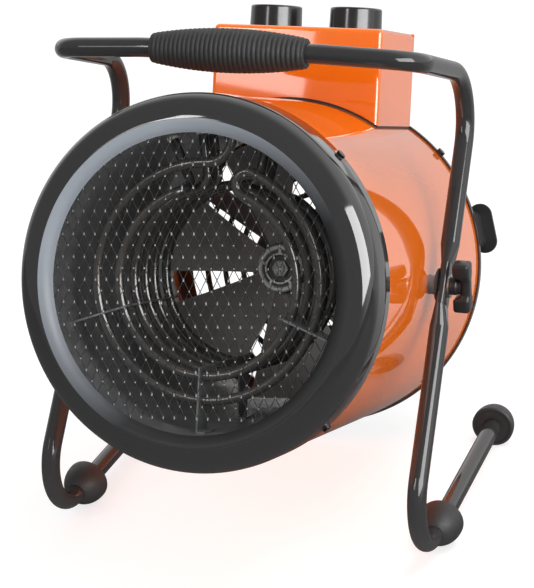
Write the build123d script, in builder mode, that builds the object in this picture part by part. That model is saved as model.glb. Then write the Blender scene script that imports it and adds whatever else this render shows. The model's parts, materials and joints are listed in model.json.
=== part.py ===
from build123d import *
from math import asin, cos, degrees, radians, sin, sqrt
import os

# Forced air heater: a horizontal drum with a fan and tubular elements, tilting in a one-piece tube stand.
# Every piece is modelled about the tilt axis, with X to the right, Y to the back and Z up.
# Drum pieces are modelled with the drum level and are tipped at the end; the origin of the finished
# model is on the floor, in the middle of the footprint.  Sizes are in millimetres and degrees.

# ---------------------------------------------------------------- driving dimensions
TILT = 18.5                # the drum's mouth looks up by this much at rest
SEAT = 0.3                 # gap between a piece and what carries it
RUN = 0.05                 # radial clearance of a shaft in its bore

RING_R = 150.0             # outside of the front and rear rings
RING_WALL = 1.5
SHELL_WALL = 1.0
SHELL_FRONT = -143.0       # drum ends, measured from the tilt axis
SHELL_BACK = 172.0

DUCT_R = RING_R - 28.0     # inner duct, outside
DUCT_WALL = 0.8
DUCT_BACK = 96.0

MOUTH_R = DUCT_R - 3.0     # clear opening of the front ring
MOUTH_Y = -166.0           # plane of the ring's inner lip
CREST_R = MOUTH_R + 12.0   # foremost circle of the ring
CREST_Y = -173.0
SHOULDER_Y = -156.0        # where the ring's skirt starts to round over
FRONT_LAP = 16.0           # lap of each ring over the drum
REAR_LAP = 8.0
REAR_LIP = 17.0            # width of the rear ring's face

MESH_THICK = 1.0
MESH_PITCH_X = 9.5         # width of one diamond
MESH_PITCH_Z = 18.0        # height of one diamond
MESH_STRAND = 1.1

ELEMENT_R = 4.0            # half the thickness of an element tube
ELEMENT_WIDE = DUCT_R - 27.0    # radius of the wide front ring
ELEMENT_RING = DUCT_R - 46.5    # radius of the other rings
ELEMENT_FRONT_Y = -133.0
ELEMENT_MIDDLE_Y = (-102.0, -79.0)
ELEMENT_REAR_Y = (-60.0, -33.0)
PIN_R = 2.0

HUB_R = 20.0
HUB_FRONT = 47.0
HUB_LENGTH = 26.0
FAN_R = DUCT_R - 7.0
FAN_BLADES = 6
BLADE_THICK = 1.8
SHAFT_R = 4.0

MOTOR_R = 43.0
MOTOR_FRONT = 80.0
MOTOR_LENGTH = 58.0

BOX_WIDTH = 155.0
BOX_FRONT = 60.0
BOX_DEPTH = 103.0
BOX_TOP = RING_R + 62.0
BOX_WALL = 1.2
BOX_CORNER = 4.0
GASKET_THICK = 1.5
GASKET_WIDTH = 5.0

KNOB_R = 23.5
KNOB_HEIGHT = 19.0
KNOB_SPACING = BOX_WIDTH / 2 - 2.5
KNOB_LIFT = 0.6            # running gap over the box
SPINDLE_R = 3.0

TUBE_R = 8.0
TUBE_WALL = 1.5
PIVOT_HEIGHT = RING_R + 66.0    # tilt axis over the floor
ARM_PIVOT_X = RING_R + 10.5
ARM_SPLAY = 0.75           # the arms spread towards the floor, from upright
BAR_Y = -42.0              # handle bar, from the tilt axis
BAR_Z = RING_R + 55.3
BAR_ARCH = 2.9
BAR_TUCK = 4.0             # the arms come in by this much from the knee to the bar
BAR_LEVEL = 77.0           # half of the bar's level middle
ARCH_BEND = 190.0
CORNER_BEND = 26.0
KNEE_BEND = 45.0
FOOT_BEND = 42.5
ARM_DROP = 20.5            # slope of the tube behind the bar, below level
ARM_LEAN = 39.4            # lean of the arm through the pivot, from upright
FLAT_THICK = 8.0           # the tube pressed flat at the pivot
FLAT_WIDE = 21.0
FLAT_LENGTH = 36.0
FLAT_BLEND = 18.0

BALL_R = 19.5
BALL_FLAT = 0.5            # worn flat under each ball
BALL_FRONT_Y = -52.0
BALL_BACK_Y = 143.0
BALL_DEEP = 10.0           # the foot bar goes this far past the middle of the rear ball

GRIP_LENGTH = 139.0
GRIP_END_R = 12.5
GRIP_MIDDLE_R = 18.2
GRIP_RIBS = 28
GRIP_GROOVE = 1.1

STUD_R = 4.0
BOSS_R = 12.0
WASHER_R = 14.0
WASHER_THICK = 1.5
T_LENGTH = 43.0            # clamp knob: bar length, width and thickness
T_WIDTH = 12.0
T_THICK = 8.5
T_STEM_R = 8.0
T_STEM_LENGTH = 8.0

SCREW_HEAD_R = 3.8
SCREW_HEAD = 2.4
SCREW_R = 1.9
SCREW_LENGTH = 8.0

GLAND_BORE_R = 5.0
GLAND_THROAT_R = 6.2
GLAND_R = 8.0
GLAND_HEX_R = 12.0

# ---------------------------------------------------------------- sizes that follow
SHELL_R = RING_R - RING_WALL - SEAT
SHELL_IN_R = SHELL_R - SHELL_WALL
DUCT_IN_R = DUCT_R - DUCT_WALL
MESH_R = DUCT_R + 3.0
MESH_FRONT = MOUTH_Y + RING_WALL + SEAT
MESH_BACK = MESH_FRONT + MESH_THICK
DUCT_FRONT = MESH_BACK + SEAT
SHELL_MIDDLE = (SHELL_FRONT + SHELL_BACK) / 2
RIM_BACK = SHELL_BACK + SEAT + RING_WALL
FLOOR_Z = -PIVOT_HEIGHT
FOOT_Z = FLOOR_Z + BALL_R - BALL_FLAT
BOX_BACK = BOX_FRONT + BOX_DEPTH
BOX_MIDDLE_Y = BOX_FRONT + BOX_DEPTH / 2
BOX_SEAT_R = SHELL_R + GASKET_THICK + SEAT
BOX_CEILING = BOX_TOP - BOX_WALL
ARM_OUT_X = ARM_PIVOT_X + FLAT_THICK / 2
ARM_IN_X = ARM_PIVOT_X - FLAT_THICK / 2

drum_pieces = []
stand_pieces = []


def finish(piece, label, group):
    """Label a finished piece and put it with the pieces that it is placed with."""
    piece.part.label = label
    group.append(piece.part)


def polar(radius, angle, y=0.0):
    """Point of the drum at a radius and an angle from +X towards +Z."""
    return Vector(radius * cos(radians(angle)), y, radius * sin(radians(angle)))


def turned_about_drum(angle, radius, y):
    """Plane on the drum's side: its normal points outwards, its X runs along the drum to the back."""
    return Plane(origin=polar(radius, angle, y), x_dir=(0, 1, 0), z_dir=polar(1, angle))


# ---------------------------------------------------------------- drum: shell and rings
PIVOT_HOLE_R = T_STEM_R + SEAT
GROMMET_R = 12.0
with BuildPart() as drum_shell:
    with BuildSketch(Plane.XY):
        with Locations((SHELL_R - SHELL_WALL / 2, SHELL_MIDDLE)):
            Rectangle(SHELL_WALL, SHELL_BACK - SHELL_FRONT)
    revolve(axis=Axis.Y)
    with BuildSketch(Plane.YZ):
        Circle(PIVOT_HOLE_R)
    extrude(amount=RING_R, both=True, mode=Mode.SUBTRACT)
    with BuildSketch(Plane.XY):
        with Locations((0, BOX_MIDDLE_Y)):
            Circle(GROMMET_R)
    extrude(amount=RING_R, mode=Mode.SUBTRACT)
finish(drum_shell, "drum_shell", drum_pieces)


def ring_outline(inset):
    """Half section of the pressed front ring, from the skirt over the crest to the inner lip."""
    shoulder = (RING_R - inset, SHOULDER_Y)
    brow = (CREST_R + 9.0 - inset * 0.6, CREST_Y + 2.6 + inset * 0.8)
    crest = (CREST_R, CREST_Y + inset)
    lip = (MOUTH_R + inset * 0.5, MOUTH_Y + inset * 0.9)
    skirt = Line((RING_R - inset, SHELL_FRONT + FRONT_LAP), shoulder)
    brow_arc = TangentArc(shoulder, brow, tangent=(0, -1))
    crest_arc = TangentArc(brow, crest, tangent=brow_arc % 1)
    lip_arc = TangentArc(crest, lip, tangent=crest_arc % 1)
    return skirt, brow_arc, crest_arc, lip_arc


with BuildPart() as front_ring:
    with BuildSketch(Plane.XY):
        with BuildLine():
            outer = ring_outline(0.0)
            inner = ring_outline(RING_WALL)
            Line(outer[0] @ 0, inner[0] @ 0)
            Line(outer[3] @ 1, inner[3] @ 1)
        make_face()
    revolve(axis=Axis.Y)
finish(front_ring, "front_ring", drum_pieces)

with BuildPart() as rear_ring:
    with BuildSketch(Plane.XY):
        with BuildLine():
            Polyline((RING_R, RIM_BACK - REAR_LAP), (RING_R, RIM_BACK - 3.0))
            RadiusArc((RING_R, RIM_BACK - 3.0), (RING_R - 3.0, RIM_BACK), -3.0)
            Polyline((RING_R - 3.0, RIM_BACK), (RING_R - REAR_LIP, RIM_BACK),
                     (RING_R - REAR_LIP, RIM_BACK - RING_WALL), (RING_R - RING_WALL, RIM_BACK - RING_WALL),
                     (RING_R - RING_WALL, RIM_BACK - REAR_LAP), (RING_R, RIM_BACK - REAR_LAP))
        make_face()
    revolve(axis=Axis.Y)
finish(rear_ring, "rear_ring", drum_pieces)

# ---------------------------------------------------------------- front grille: expanded metal
DIAMOND_HALF = (MESH_PITCH_X / 2, MESH_PITCH_Z / 2)
DIAMOND_REACH = DIAMOND_HALF[0] * DIAMOND_HALF[1] / sqrt(DIAMOND_HALF[0] ** 2 + DIAMOND_HALF[1] ** 2)
HOLE_SHARE = 1 - MESH_STRAND / 2 / DIAMOND_REACH
HOLE_HALF = (DIAMOND_HALF[0] * HOLE_SHARE, DIAMOND_HALF[1] * HOLE_SHARE)
MESH_COLUMNS = int(MOUTH_R / DIAMOND_HALF[0]) + 1
MESH_ROWS = int(MOUTH_R / DIAMOND_HALF[1]) + 1
MESH_FACE = Plane(origin=(0, MESH_FRONT, 0), x_dir=(1, 0, 0), z_dir=(0, -1, 0))


def diamond_centres():
    """Centres of the diamonds, in two grids that are half a pitch apart, that reach into the mouth."""
    centres = []
    for row in range(-MESH_ROWS, MESH_ROWS + 1):
        for column in range(-MESH_COLUMNS, MESH_COLUMNS + 1):
            if (row + column) % 2 == 0:
                x, z = column * DIAMOND_HALF[0], row * DIAMOND_HALF[1]
                if sqrt(x * x + z * z) < MOUTH_R - DIAMOND_HALF[1] * 0.25:
                    centres.append((x, z))
    return centres


with BuildPart() as front_grille:
    with BuildSketch(MESH_FACE):
        Circle(MESH_R)
        with Locations(*diamond_centres()):
            Polygon((HOLE_HALF[0], 0), (0, HOLE_HALF[1]), (-HOLE_HALF[0], 0), (0, -HOLE_HALF[1]),
                    mode=Mode.SUBTRACT)
    extrude(amount=-MESH_THICK)
    with BuildSketch(MESH_FACE):
        Circle(MESH_R)
        Circle(MOUTH_R, mode=Mode.SUBTRACT)
    extrude(amount=-MESH_THICK)
finish(front_grille, "front_grille", drum_pieces)

# ---------------------------------------------------------------- inner duct and its carrier
DUCT_FLANGE_R = SHELL_IN_R - 4.0
INSULATOR_R = 7.0
LEG_TOP_R = DUCT_R + 7.0
TERMINALS = []             # (angle, y) of every element leg that passes through the duct


def leg_bend(ring_r, leg_angle, bend, y, way):
    """Arc that turns a radial leg into a ring: points on the leg, in mid bend and on the ring."""
    spread = degrees(asin(bend / (ring_r + bend)))
    centre = polar(ring_r + bend, leg_angle + way * spread, y)
    on_leg = polar((ring_r + bend) * cos(radians(spread)), leg_angle, y)
    on_ring = polar(ring_r, leg_angle + way * spread, y)
    middle = centre + ((on_leg - centre) + (on_ring - centre)).normalized() * bend
    return on_leg, middle, on_ring, leg_angle + way * spread


def ring_arcs(ring_r, start, end, y):
    """A long arc of a ring as three arcs of a third each."""
    step = (end - start) / 3
    for turn in range(3):
        first = start + turn * step
        ThreePointArc(polar(ring_r, first, y), polar(ring_r, first + step / 2, y), polar(ring_r, first + step, y))


def leg(ring_r, leg_angle, bend, y):
    """A radial leg from its terminal to the ring; the ring goes on at the angle that comes back."""
    on_leg, middle, on_ring, ring_angle = leg_bend(ring_r, leg_angle, bend, y, 1)
    Line(polar(LEG_TOP_R, leg_angle, y), on_leg)
    ThreePointArc(on_leg, middle, on_ring)
    TERMINALS.append((leg_angle, y))
    return ring_angle


def twin_ring_path(leg_angle, turn_angle, ys, bend):
    """Two rings one behind the other, joined by a turn along the drum, with both legs at the top."""
    start = leg(ELEMENT_RING, leg_angle, bend, ys[0])
    ring_arcs(ELEMENT_RING, start, turn_angle, ys[0])
    half = (ys[1] - ys[0]) / 2
    tangent = polar(1, turn_angle + 90)
    ThreePointArc(polar(ELEMENT_RING, turn_angle, ys[0]),
                  polar(ELEMENT_RING, turn_angle, ys[0] + half) + tangent * half,
                  polar(ELEMENT_RING, turn_angle, ys[1]))
    ring_arcs(ELEMENT_RING, turn_angle, start, ys[1])
    leg(ELEMENT_RING, leg_angle, bend, ys[1])


def add_pins(angles_and_ys):
    """Terminal pins that stand out of the ends of an element's legs."""
    for angle, y in angles_and_ys:
        with BuildSketch(turned_about_drum(angle, LEG_TOP_R - 1.0, y)) as pin:
            Circle(PIN_R)
        extrude(pin.sketch, amount=9.0)


WIDE_LEG = 82.0
WIDE_BEND = 20.0
WIDE_TURN = 429.0
RETURN_END = 116.0
RETURN_BEND = 10.0
RETURN_BACK = 4.0
with BuildLine() as front_path:
    wide_start = leg(ELEMENT_WIDE, WIDE_LEG, WIDE_BEND, ELEMENT_FRONT_Y)
    ring_arcs(ELEMENT_WIDE, wide_start, WIDE_TURN, ELEMENT_FRONT_Y)
    turn_r = (ELEMENT_WIDE + ELEMENT_RING) / 2
    turn_half = (ELEMENT_WIDE - ELEMENT_RING) / 2
    ThreePointArc(polar(ELEMENT_WIDE, WIDE_TURN, ELEMENT_FRONT_Y),
                  polar(turn_r, WIDE_TURN, ELEMENT_FRONT_Y) + polar(turn_half, WIDE_TURN + 90),
                  polar(ELEMENT_RING, WIDE_TURN, ELEMENT_FRONT_Y))
    ring_arcs(ELEMENT_RING, WIDE_TURN, RETURN_END, ELEMENT_FRONT_Y)
    # the return leg turns to the back, runs a little and then turns outwards
    ring_end = polar(ELEMENT_RING, RETURN_END, ELEMENT_FRONT_Y)
    onward = polar(1, RETURN_END - 90)
    outward = polar(1, RETURN_END)
    backward = Vector(0, 1, 0)
    slant = 1 - cos(radians(45))
    back_start = ring_end + onward * RETURN_BEND + backward * RETURN_BEND
    ThreePointArc(ring_end,
                  ring_end + onward * RETURN_BEND * sin(radians(45)) + backward * RETURN_BEND * slant,
                  back_start)
    back_end = back_start + backward * RETURN_BACK
    Line(back_start, back_end)
    rise_start = back_end + backward * RETURN_BEND + outward * RETURN_BEND
    ThreePointArc(back_end,
                  back_end + backward * RETURN_BEND * sin(radians(45)) + outward * RETURN_BEND * slant,
                  rise_start)
    RETURN_TOP = rise_start + outward * (LEG_TOP_R - ELEMENT_RING - RETURN_BEND)
    Line(rise_start, RETURN_TOP)

with BuildPart() as element_front:
    with BuildSketch(turned_about_drum(WIDE_LEG, LEG_TOP_R, ELEMENT_FRONT_Y)):
        Circle(ELEMENT_R)
    sweep(path=front_path.wires()[0])
    add_pins([(WIDE_LEG, ELEMENT_FRONT_Y)])
    with BuildSketch(Plane(origin=RETURN_TOP - outward, x_dir=(0, 1, 0), z_dir=outward)):
        Circle(PIN_R)
    extrude(amount=9.0)
finish(element_front, "element_front", drum_pieces)

MIDDLE_LEG = 100.0
REAR_LEG = 80.0
TWIN_BEND = 12.0
with BuildLine() as middle_path:
    twin_ring_path(MIDDLE_LEG, 430.0, ELEMENT_MIDDLE_Y, TWIN_BEND)
with BuildPart() as element_middle:
    with BuildSketch(turned_about_drum(MIDDLE_LEG, LEG_TOP_R, ELEMENT_MIDDLE_Y[0])):
        Circle(ELEMENT_R)
    sweep(path=middle_path.wires()[0])
    add_pins([(MIDDLE_LEG, y) for y in ELEMENT_MIDDLE_Y])
finish(element_middle, "element_middle", drum_pieces)

with BuildLine() as rear_path:
    twin_ring_path(REAR_LEG, 410.0, ELEMENT_REAR_Y, TWIN_BEND)
with BuildPart() as element_rear:
    with BuildSketch(turned_about_drum(REAR_LEG, LEG_TOP_R, ELEMENT_REAR_Y[0])):
        Circle(ELEMENT_R)
    sweep(path=rear_path.wires()[0])
    add_pins([(REAR_LEG, y) for y in ELEMENT_REAR_Y])
finish(element_rear, "element_rear", drum_pieces)

TERMINAL_PLANES = [turned_about_drum(angle, DUCT_R, y) for angle, y in TERMINALS]
TERMINAL_PLANES.append(Plane(origin=RETURN_TOP - outward * (LEG_TOP_R - DUCT_R), x_dir=(0, 1, 0), z_dir=outward))

with BuildPart() as inner_duct:
    with BuildSketch(Plane.XY):
        with Locations((DUCT_R - DUCT_WALL / 2, (DUCT_FRONT + DUCT_BACK) / 2)):
            Rectangle(DUCT_WALL, DUCT_BACK - DUCT_FRONT)
        with Locations(((DUCT_R + DUCT_FLANGE_R - DUCT_WALL) / 2, DUCT_FRONT + DUCT_WALL / 2)):
            Rectangle(DUCT_FLANGE_R - DUCT_R + DUCT_WALL, DUCT_WALL)
    revolve(axis=Axis.Y)
    for seat in TERMINAL_PLANES:
        with BuildSketch(seat.offset(-8.0)):
            Circle(INSULATOR_R - 1.5 + RUN)
        extrude(amount=16.0, mode=Mode.SUBTRACT)
finish(inner_duct, "inner_duct", drum_pieces)

with BuildPart() as terminal_insulators:
    for seat in TERMINAL_PLANES:
        with BuildSketch(seat.offset(SEAT)):
            Circle(INSULATOR_R)
        extrude(amount=3.0)
        with BuildSketch(seat.offset(-3.5)):
            Circle(INSULATOR_R - 1.5)
        extrude(amount=3.5 + SEAT)
        with BuildSketch(seat.offset(-4.0)):
            Circle(ELEMENT_R + RUN)
        extrude(amount=10.0, mode=Mode.SUBTRACT)
finish(terminal_insulators, "terminal_insulators", drum_pieces)

CARRIER_SLOTS = 12
CARRIER_SPAN = SHELL_IN_R - DUCT_R
CARRIER_SLOT = 30.0
with BuildPart() as duct_carrier:
    with BuildSketch(Plane(origin=(0, DUCT_BACK - 6.0, 0), x_dir=(1, 0, 0), z_dir=(0, 1, 0))):
        Circle(SHELL_IN_R - SEAT)
        Circle(DUCT_R + SEAT, mode=Mode.SUBTRACT)
        with PolarLocations((SHELL_IN_R + DUCT_R) / 2, CARRIER_SLOTS):
            SlotOverall(CARRIER_SLOT, CARRIER_SPAN * 0.36, rotation=90, mode=Mode.SUBTRACT)
    extrude(amount=1.2)
finish(duct_carrier, "duct_carrier", drum_pieces)

# ---------------------------------------------------------------- element stays: drilled radial strips
STAY_THICK = 1.5
STAY_IN_R = ELEMENT_RING - 7.5
STAY_OUT_R = DUCT_IN_R - SEAT - STAY_THICK
STAY_NECK_R = ELEMENT_RING + 8.0
STAY_FRONT = ELEMENT_FRONT_Y - 8.0
STAY_BACK = ELEMENT_REAR_Y[1] + 8.0
STAY_FOOT = 22.0
STAY_TAB = 6.5
STAY_HOLES = [(ELEMENT_WIDE, ELEMENT_FRONT_Y), (ELEMENT_RING, ELEMENT_FRONT_Y)]
STAY_HOLES += [(ELEMENT_RING, y) for y in ELEMENT_MIDDLE_Y + ELEMENT_REAR_Y]


def element_stay(angle):
    """Radial strip that the rings pass through, with two feet folded against the duct."""
    with BuildPart() as stay:
        with BuildSketch(Plane.XY):
            Polygon((STAY_IN_R, STAY_FRONT), (STAY_OUT_R, STAY_FRONT), (STAY_OUT_R, STAY_FRONT + STAY_FOOT),
                    (STAY_NECK_R, STAY_FRONT + STAY_FOOT), (STAY_NECK_R, STAY_BACK - STAY_FOOT),
                    (STAY_OUT_R, STAY_BACK - STAY_FOOT), (STAY_OUT_R, STAY_BACK), (STAY_IN_R, STAY_BACK),
                    align=None)
            with Locations(*STAY_HOLES):
                Circle(ELEMENT_R + SEAT, mode=Mode.SUBTRACT)
        extrude(amount=STAY_THICK / 2, both=True)
        with BuildSketch(Plane.YZ.offset(STAY_OUT_R)):
            with Locations((STAY_FRONT + STAY_FOOT / 2, STAY_TAB / 2), (STAY_BACK - STAY_FOOT / 2, STAY_TAB / 2)):
                Rectangle(STAY_FOOT, STAY_TAB + STAY_THICK)
        extrude(amount=STAY_THICK)
    return stay.part.rotate(Axis.Y, -angle)


for stay_name, stay_angle in (("left", 200.0), ("right", 340.0), ("bottom", 270.0)):
    stay_part = element_stay(stay_angle)
    stay_part.label = f"element_stay_{stay_name}"
    drum_pieces.append(stay_part)

# ---------------------------------------------------------------- fan and motor
FAN_BORE_R = SHAFT_R + RUN
BLADE_ROOT = (HUB_R - 2.0, 30.0, 42.0)      # radius, chord and pitch of each section
BLADE_MIDDLE = (FAN_R * 0.57, 64.0, 30.0)
BLADE_TIP = (FAN_R + 6.0, 106.0, 22.0)
BLADE_CAMBER = 0.09
BLADE_START = 15.0         # turn of the first blade from upright
FAN_REACH = 30.0           # how far before and behind the hub the blades are trimmed
FAN_MIDDLE = HUB_FRONT + HUB_LENGTH / 2


def blade_section(radius, chord, pitch):
    """Thin cambered slice of a blade, square to its radius and turned to its pitch."""
    slope = radians(pitch)
    with BuildSketch(Plane(origin=(0, FAN_MIDDLE, radius), x_dir=(cos(slope), sin(slope), 0))) as cut:
        with BuildLine():
            rise = chord * BLADE_CAMBER
            low = ThreePointArc((-chord / 2, 0), (0, rise), (chord / 2, 0))
            high = ThreePointArc((-chord / 2, BLADE_THICK), (0, rise + BLADE_THICK), (chord / 2, BLADE_THICK))
            Line(low @ 0, high @ 0)
            Line(low @ 1, high @ 1)
        make_face()
    return cut.sketch


with BuildPart() as blade:
    loft([blade_section(*BLADE_ROOT), blade_section(*BLADE_MIDDLE), blade_section(*BLADE_TIP)])

with BuildPart() as impeller:
    with BuildSketch(Plane.XY):
        with BuildLine():
            nose = RadiusArc((HUB_R - 5.0, HUB_FRONT), (HUB_R, HUB_FRONT + 5.0), -5.0)
            Polyline(nose @ 1, (HUB_R, HUB_FRONT + HUB_LENGTH), (FAN_BORE_R, HUB_FRONT + HUB_LENGTH),
                     (FAN_BORE_R, HUB_FRONT + 4.0), (HUB_R - 8.0, HUB_FRONT + 4.0), (HUB_R - 8.0, HUB_FRONT),
                     nose @ 0)
        make_face()
    revolve(axis=Axis.Y)
    for turn in range(FAN_BLADES):
        add(blade.part.rotate(Axis.Y, BLADE_START + turn * 360 / FAN_BLADES))
    with BuildSketch(Plane(origin=(0, HUB_FRONT - FAN_REACH, 0), x_dir=(1, 0, 0), z_dir=(0, 1, 0))):
        Circle(FAN_R)
    extrude(amount=HUB_LENGTH + 2 * FAN_REACH, mode=Mode.INTERSECT)
    with BuildSketch(Plane(origin=(0, HUB_FRONT - FAN_REACH, 0), x_dir=(1, 0, 0), z_dir=(0, 1, 0))):
        Circle(FAN_BORE_R)
    extrude(amount=HUB_LENGTH + 2 * FAN_REACH, mode=Mode.SUBTRACT)
finish(impeller, "impeller", drum_pieces)

NUT_THICK = 6.0
NUT_R = 7.5
with BuildPart() as fan_nut:
    with BuildSketch(Plane(origin=(0, HUB_FRONT + 4.0, 0), x_dir=(1, 0, 0), z_dir=(0, -1, 0))):
        RegularPolygon(NUT_R, 6)
        Circle(FAN_BORE_R, mode=Mode.SUBTRACT)
    extrude(amount=NUT_THICK)
finish(fan_nut, "fan_nut", drum_pieces)

MOTOR_BACK = MOTOR_FRONT + MOTOR_LENGTH
MOTOR_BOSS_R = 12.0
MOTOR_BOSS = 5.0
MOTOR_BELL = 14.0
with BuildPart() as motor_shaft:
    with BuildSketch(Plane(origin=(0, HUB_FRONT - 4.0, 0), x_dir=(1, 0, 0), z_dir=(0, 1, 0))):
        Circle(SHAFT_R)
    extrude(amount=MOTOR_BACK - HUB_FRONT)
finish(motor_shaft, "motor_shaft", drum_pieces)

with BuildPart() as motor_body:
    with BuildSketch(Plane.XY):
        with BuildLine():
            Polyline((FAN_BORE_R, MOTOR_BACK - 3.0), (FAN_BORE_R, MOTOR_FRONT - MOTOR_BOSS),
                     (MOTOR_BOSS_R, MOTOR_FRONT - MOTOR_BOSS), (MOTOR_BOSS_R, MOTOR_FRONT),
                     (MOTOR_R - 9.0, MOTOR_FRONT))
            RadiusArc((MOTOR_R - 9.0, MOTOR_FRONT), (MOTOR_R - 3.0, MOTOR_FRONT + 6.0), -6.0)
            Polyline((MOTOR_R - 3.0, MOTOR_FRONT + 6.0), (MOTOR_R - 3.0, MOTOR_FRONT + MOTOR_BELL),
                     (MOTOR_R, MOTOR_FRONT + MOTOR_BELL), (MOTOR_R, MOTOR_BACK - MOTOR_BELL),
                     (MOTOR_R - 3.0, MOTOR_BACK - MOTOR_BELL), (MOTOR_R - 3.0, MOTOR_BACK), (0, MOTOR_BACK),
                     (0, MOTOR_BACK - 3.0), (FAN_BORE_R, MOTOR_BACK - 3.0))
        make_face()
    revolve(axis=Axis.Y)
finish(motor_body, "motor_body", drum_pieces)

BRACKET_THICK = 2.0
BRACKET_Y = MOTOR_BACK
BRACKET_HUB_R = 46.0
BRACKET_ARM = 18.0
BRACKET_LIP = 12.0
BRACKET_R = SHELL_IN_R - SEAT
BRACKET_ARMS = 3
MOTOR_SCREW_R = 30.0
BACK_PLANE = Plane(origin=(0, BRACKET_Y, 0), x_dir=(1, 0, 0), z_dir=(0, 1, 0))
with BuildPart() as motor_bracket:
    with BuildSketch(BACK_PLANE):
        Circle(BRACKET_HUB_R)
        with PolarLocations(BRACKET_R / 2, BRACKET_ARMS, start_angle=90):
            Rectangle(BRACKET_R, BRACKET_ARM)
        Circle(BRACKET_R, mode=Mode.INTERSECT)
        with PolarLocations(MOTOR_SCREW_R, BRACKET_ARMS, start_angle=30):
            Circle(SCREW_R + SEAT, mode=Mode.SUBTRACT)
    extrude(amount=BRACKET_THICK)
    with BuildSketch(BACK_PLANE):
        with PolarLocations(BRACKET_R / 2, BRACKET_ARMS, start_angle=90):
            Rectangle(BRACKET_R, BRACKET_ARM)
        Circle(BRACKET_R, mode=Mode.INTERSECT)
        Circle(BRACKET_R - BRACKET_THICK, mode=Mode.SUBTRACT)
    extrude(amount=BRACKET_LIP)
finish(motor_bracket, "motor_bracket", drum_pieces)

with BuildPart() as motor_screws:
    with BuildSketch(BACK_PLANE.offset(BRACKET_THICK)):
        with PolarLocations(MOTOR_SCREW_R, BRACKET_ARMS, start_angle=30):
            Circle(SCREW_HEAD_R)
    extrude(amount=SCREW_HEAD)
    with BuildSketch(BACK_PLANE):
        with PolarLocations(MOTOR_SCREW_R, BRACKET_ARMS, start_angle=30):
            Circle(SCREW_R)
    extrude(amount=BRACKET_THICK)
finish(motor_screws, "motor_screws", drum_pieces)

# ---------------------------------------------------------------- rear guard and cord hooks
GUARD_R = SHELL_IN_R - SEAT
GUARD_THICK = 1.2
GUARD_FRONT = SHELL_BACK - GUARD_THICK - SEAT
GUARD_RINGS = 6
GUARD_SPOKES = 6
GUARD_HUB_R = 30.0
GUARD_EDGE = 10.0
GUARD_BAR = 5.0
GUARD_PITCH = (GUARD_R - GUARD_EDGE - GUARD_HUB_R) / GUARD_RINGS
GUARD_PLANE = Plane(origin=(0, GUARD_FRONT, 0), x_dir=(1, 0, 0), z_dir=(0, 1, 0))
with BuildPart() as rear_guard:
    with BuildSketch(GUARD_PLANE):
        Circle(GUARD_R)
        for ring in reversed(range(GUARD_RINGS)):
            gap_r = GUARD_HUB_R + ring * GUARD_PITCH
            Circle(gap_r + GUARD_PITCH - GUARD_BAR, mode=Mode.SUBTRACT)
            Circle(gap_r)
        with PolarLocations((GUARD_HUB_R + GUARD_R - GUARD_EDGE) / 2, GUARD_SPOKES, start_angle=30):
            Rectangle(GUARD_R - GUARD_EDGE - GUARD_HUB_R + 8.0, GUARD_BAR)
    extrude(amount=GUARD_THICK)
finish(rear_guard, "rear_guard", drum_pieces)

HOOK_ANGLE = 15.0
HOOK_R = RING_R - 8.0
HOOK_REACH = 26.0
HOOK_WIDE = 46.0
HOOK_THICK = 5.0
HOOK_LIP = 12.0
HOOK_PLANE = Plane(origin=(0, RIM_BACK, 0), x_dir=(1, 0, 0), z_dir=(0, 1, 0))


def cord_hook(side):
    """Post on the rear ring with a rounded lip that keeps a wound cord on it."""
    angle = -HOOK_ANGLE if side > 0 else 180 + HOOK_ANGLE
    with BuildPart() as hook:
        with BuildSketch(HOOK_PLANE):
            with PolarLocations(HOOK_R, 1, start_angle=angle):
                SlotOverall(HOOK_WIDE - HOOK_LIP, 12.0, rotation=90)
        extrude(amount=HOOK_REACH)
        with BuildSketch(HOOK_PLANE.offset(HOOK_REACH)):
            with PolarLocations(HOOK_R + 5.0, 1, start_angle=angle):
                SlotOverall(HOOK_WIDE, 22.0, rotation=90)
        extrude(amount=HOOK_THICK)
        fillet(hook.faces().sort_by(Axis.Y)[-1].edges(), 2.0)
    return hook


finish(cord_hook(-1), "cord_hook_left", drum_pieces)
finish(cord_hook(1), "cord_hook_right", drum_pieces)

# ---------------------------------------------------------------- control box
BOX_BOTTOM = sqrt(BOX_SEAT_R ** 2 - (BOX_WIDTH / 2) ** 2)
BUSH_R = 5.0
KNOB_PLACES = [(-KNOB_SPACING / 2, BOX_MIDDLE_Y), (KNOB_SPACING / 2, BOX_MIDDLE_Y)]
REAR_PLATE = BOX_WALL
with BuildPart() as control_box:
    with BuildSketch(Plane.XY.offset(BOX_BOTTOM - 2.0)):
        with Locations((0, BOX_MIDDLE_Y)):
            Rectangle(BOX_WIDTH, BOX_DEPTH)
    extrude(amount=BOX_TOP - BOX_BOTTOM + 2.0)
    upright = control_box.edges().filter_by(Axis.Z).sort_by(Axis.Y)[:2]
    brow = control_box.edges().group_by(Axis.Z)[-1].filter_by(lambda edge: edge.center().Y < BOX_BACK - 1)
    fillet(upright + brow, BOX_CORNER)
    inner_faces = [control_box.faces().sort_by(Axis.Z)[0], control_box.faces().sort_by(Axis.Y)[-1]]
    offset(amount=-BOX_WALL, openings=inner_faces)
    with BuildSketch(Plane.XZ):
        Circle(BOX_SEAT_R)
    extrude(amount=-BOX_BACK - 1, mode=Mode.SUBTRACT)
    with BuildSketch(Plane.XY.offset(BOX_CEILING - 1)):
        with Locations(*KNOB_PLACES):
            Circle(BUSH_R + SEAT)
    extrude(amount=BOX_WALL + 2, mode=Mode.SUBTRACT)
finish(control_box, "control_box", drum_pieces)

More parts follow.
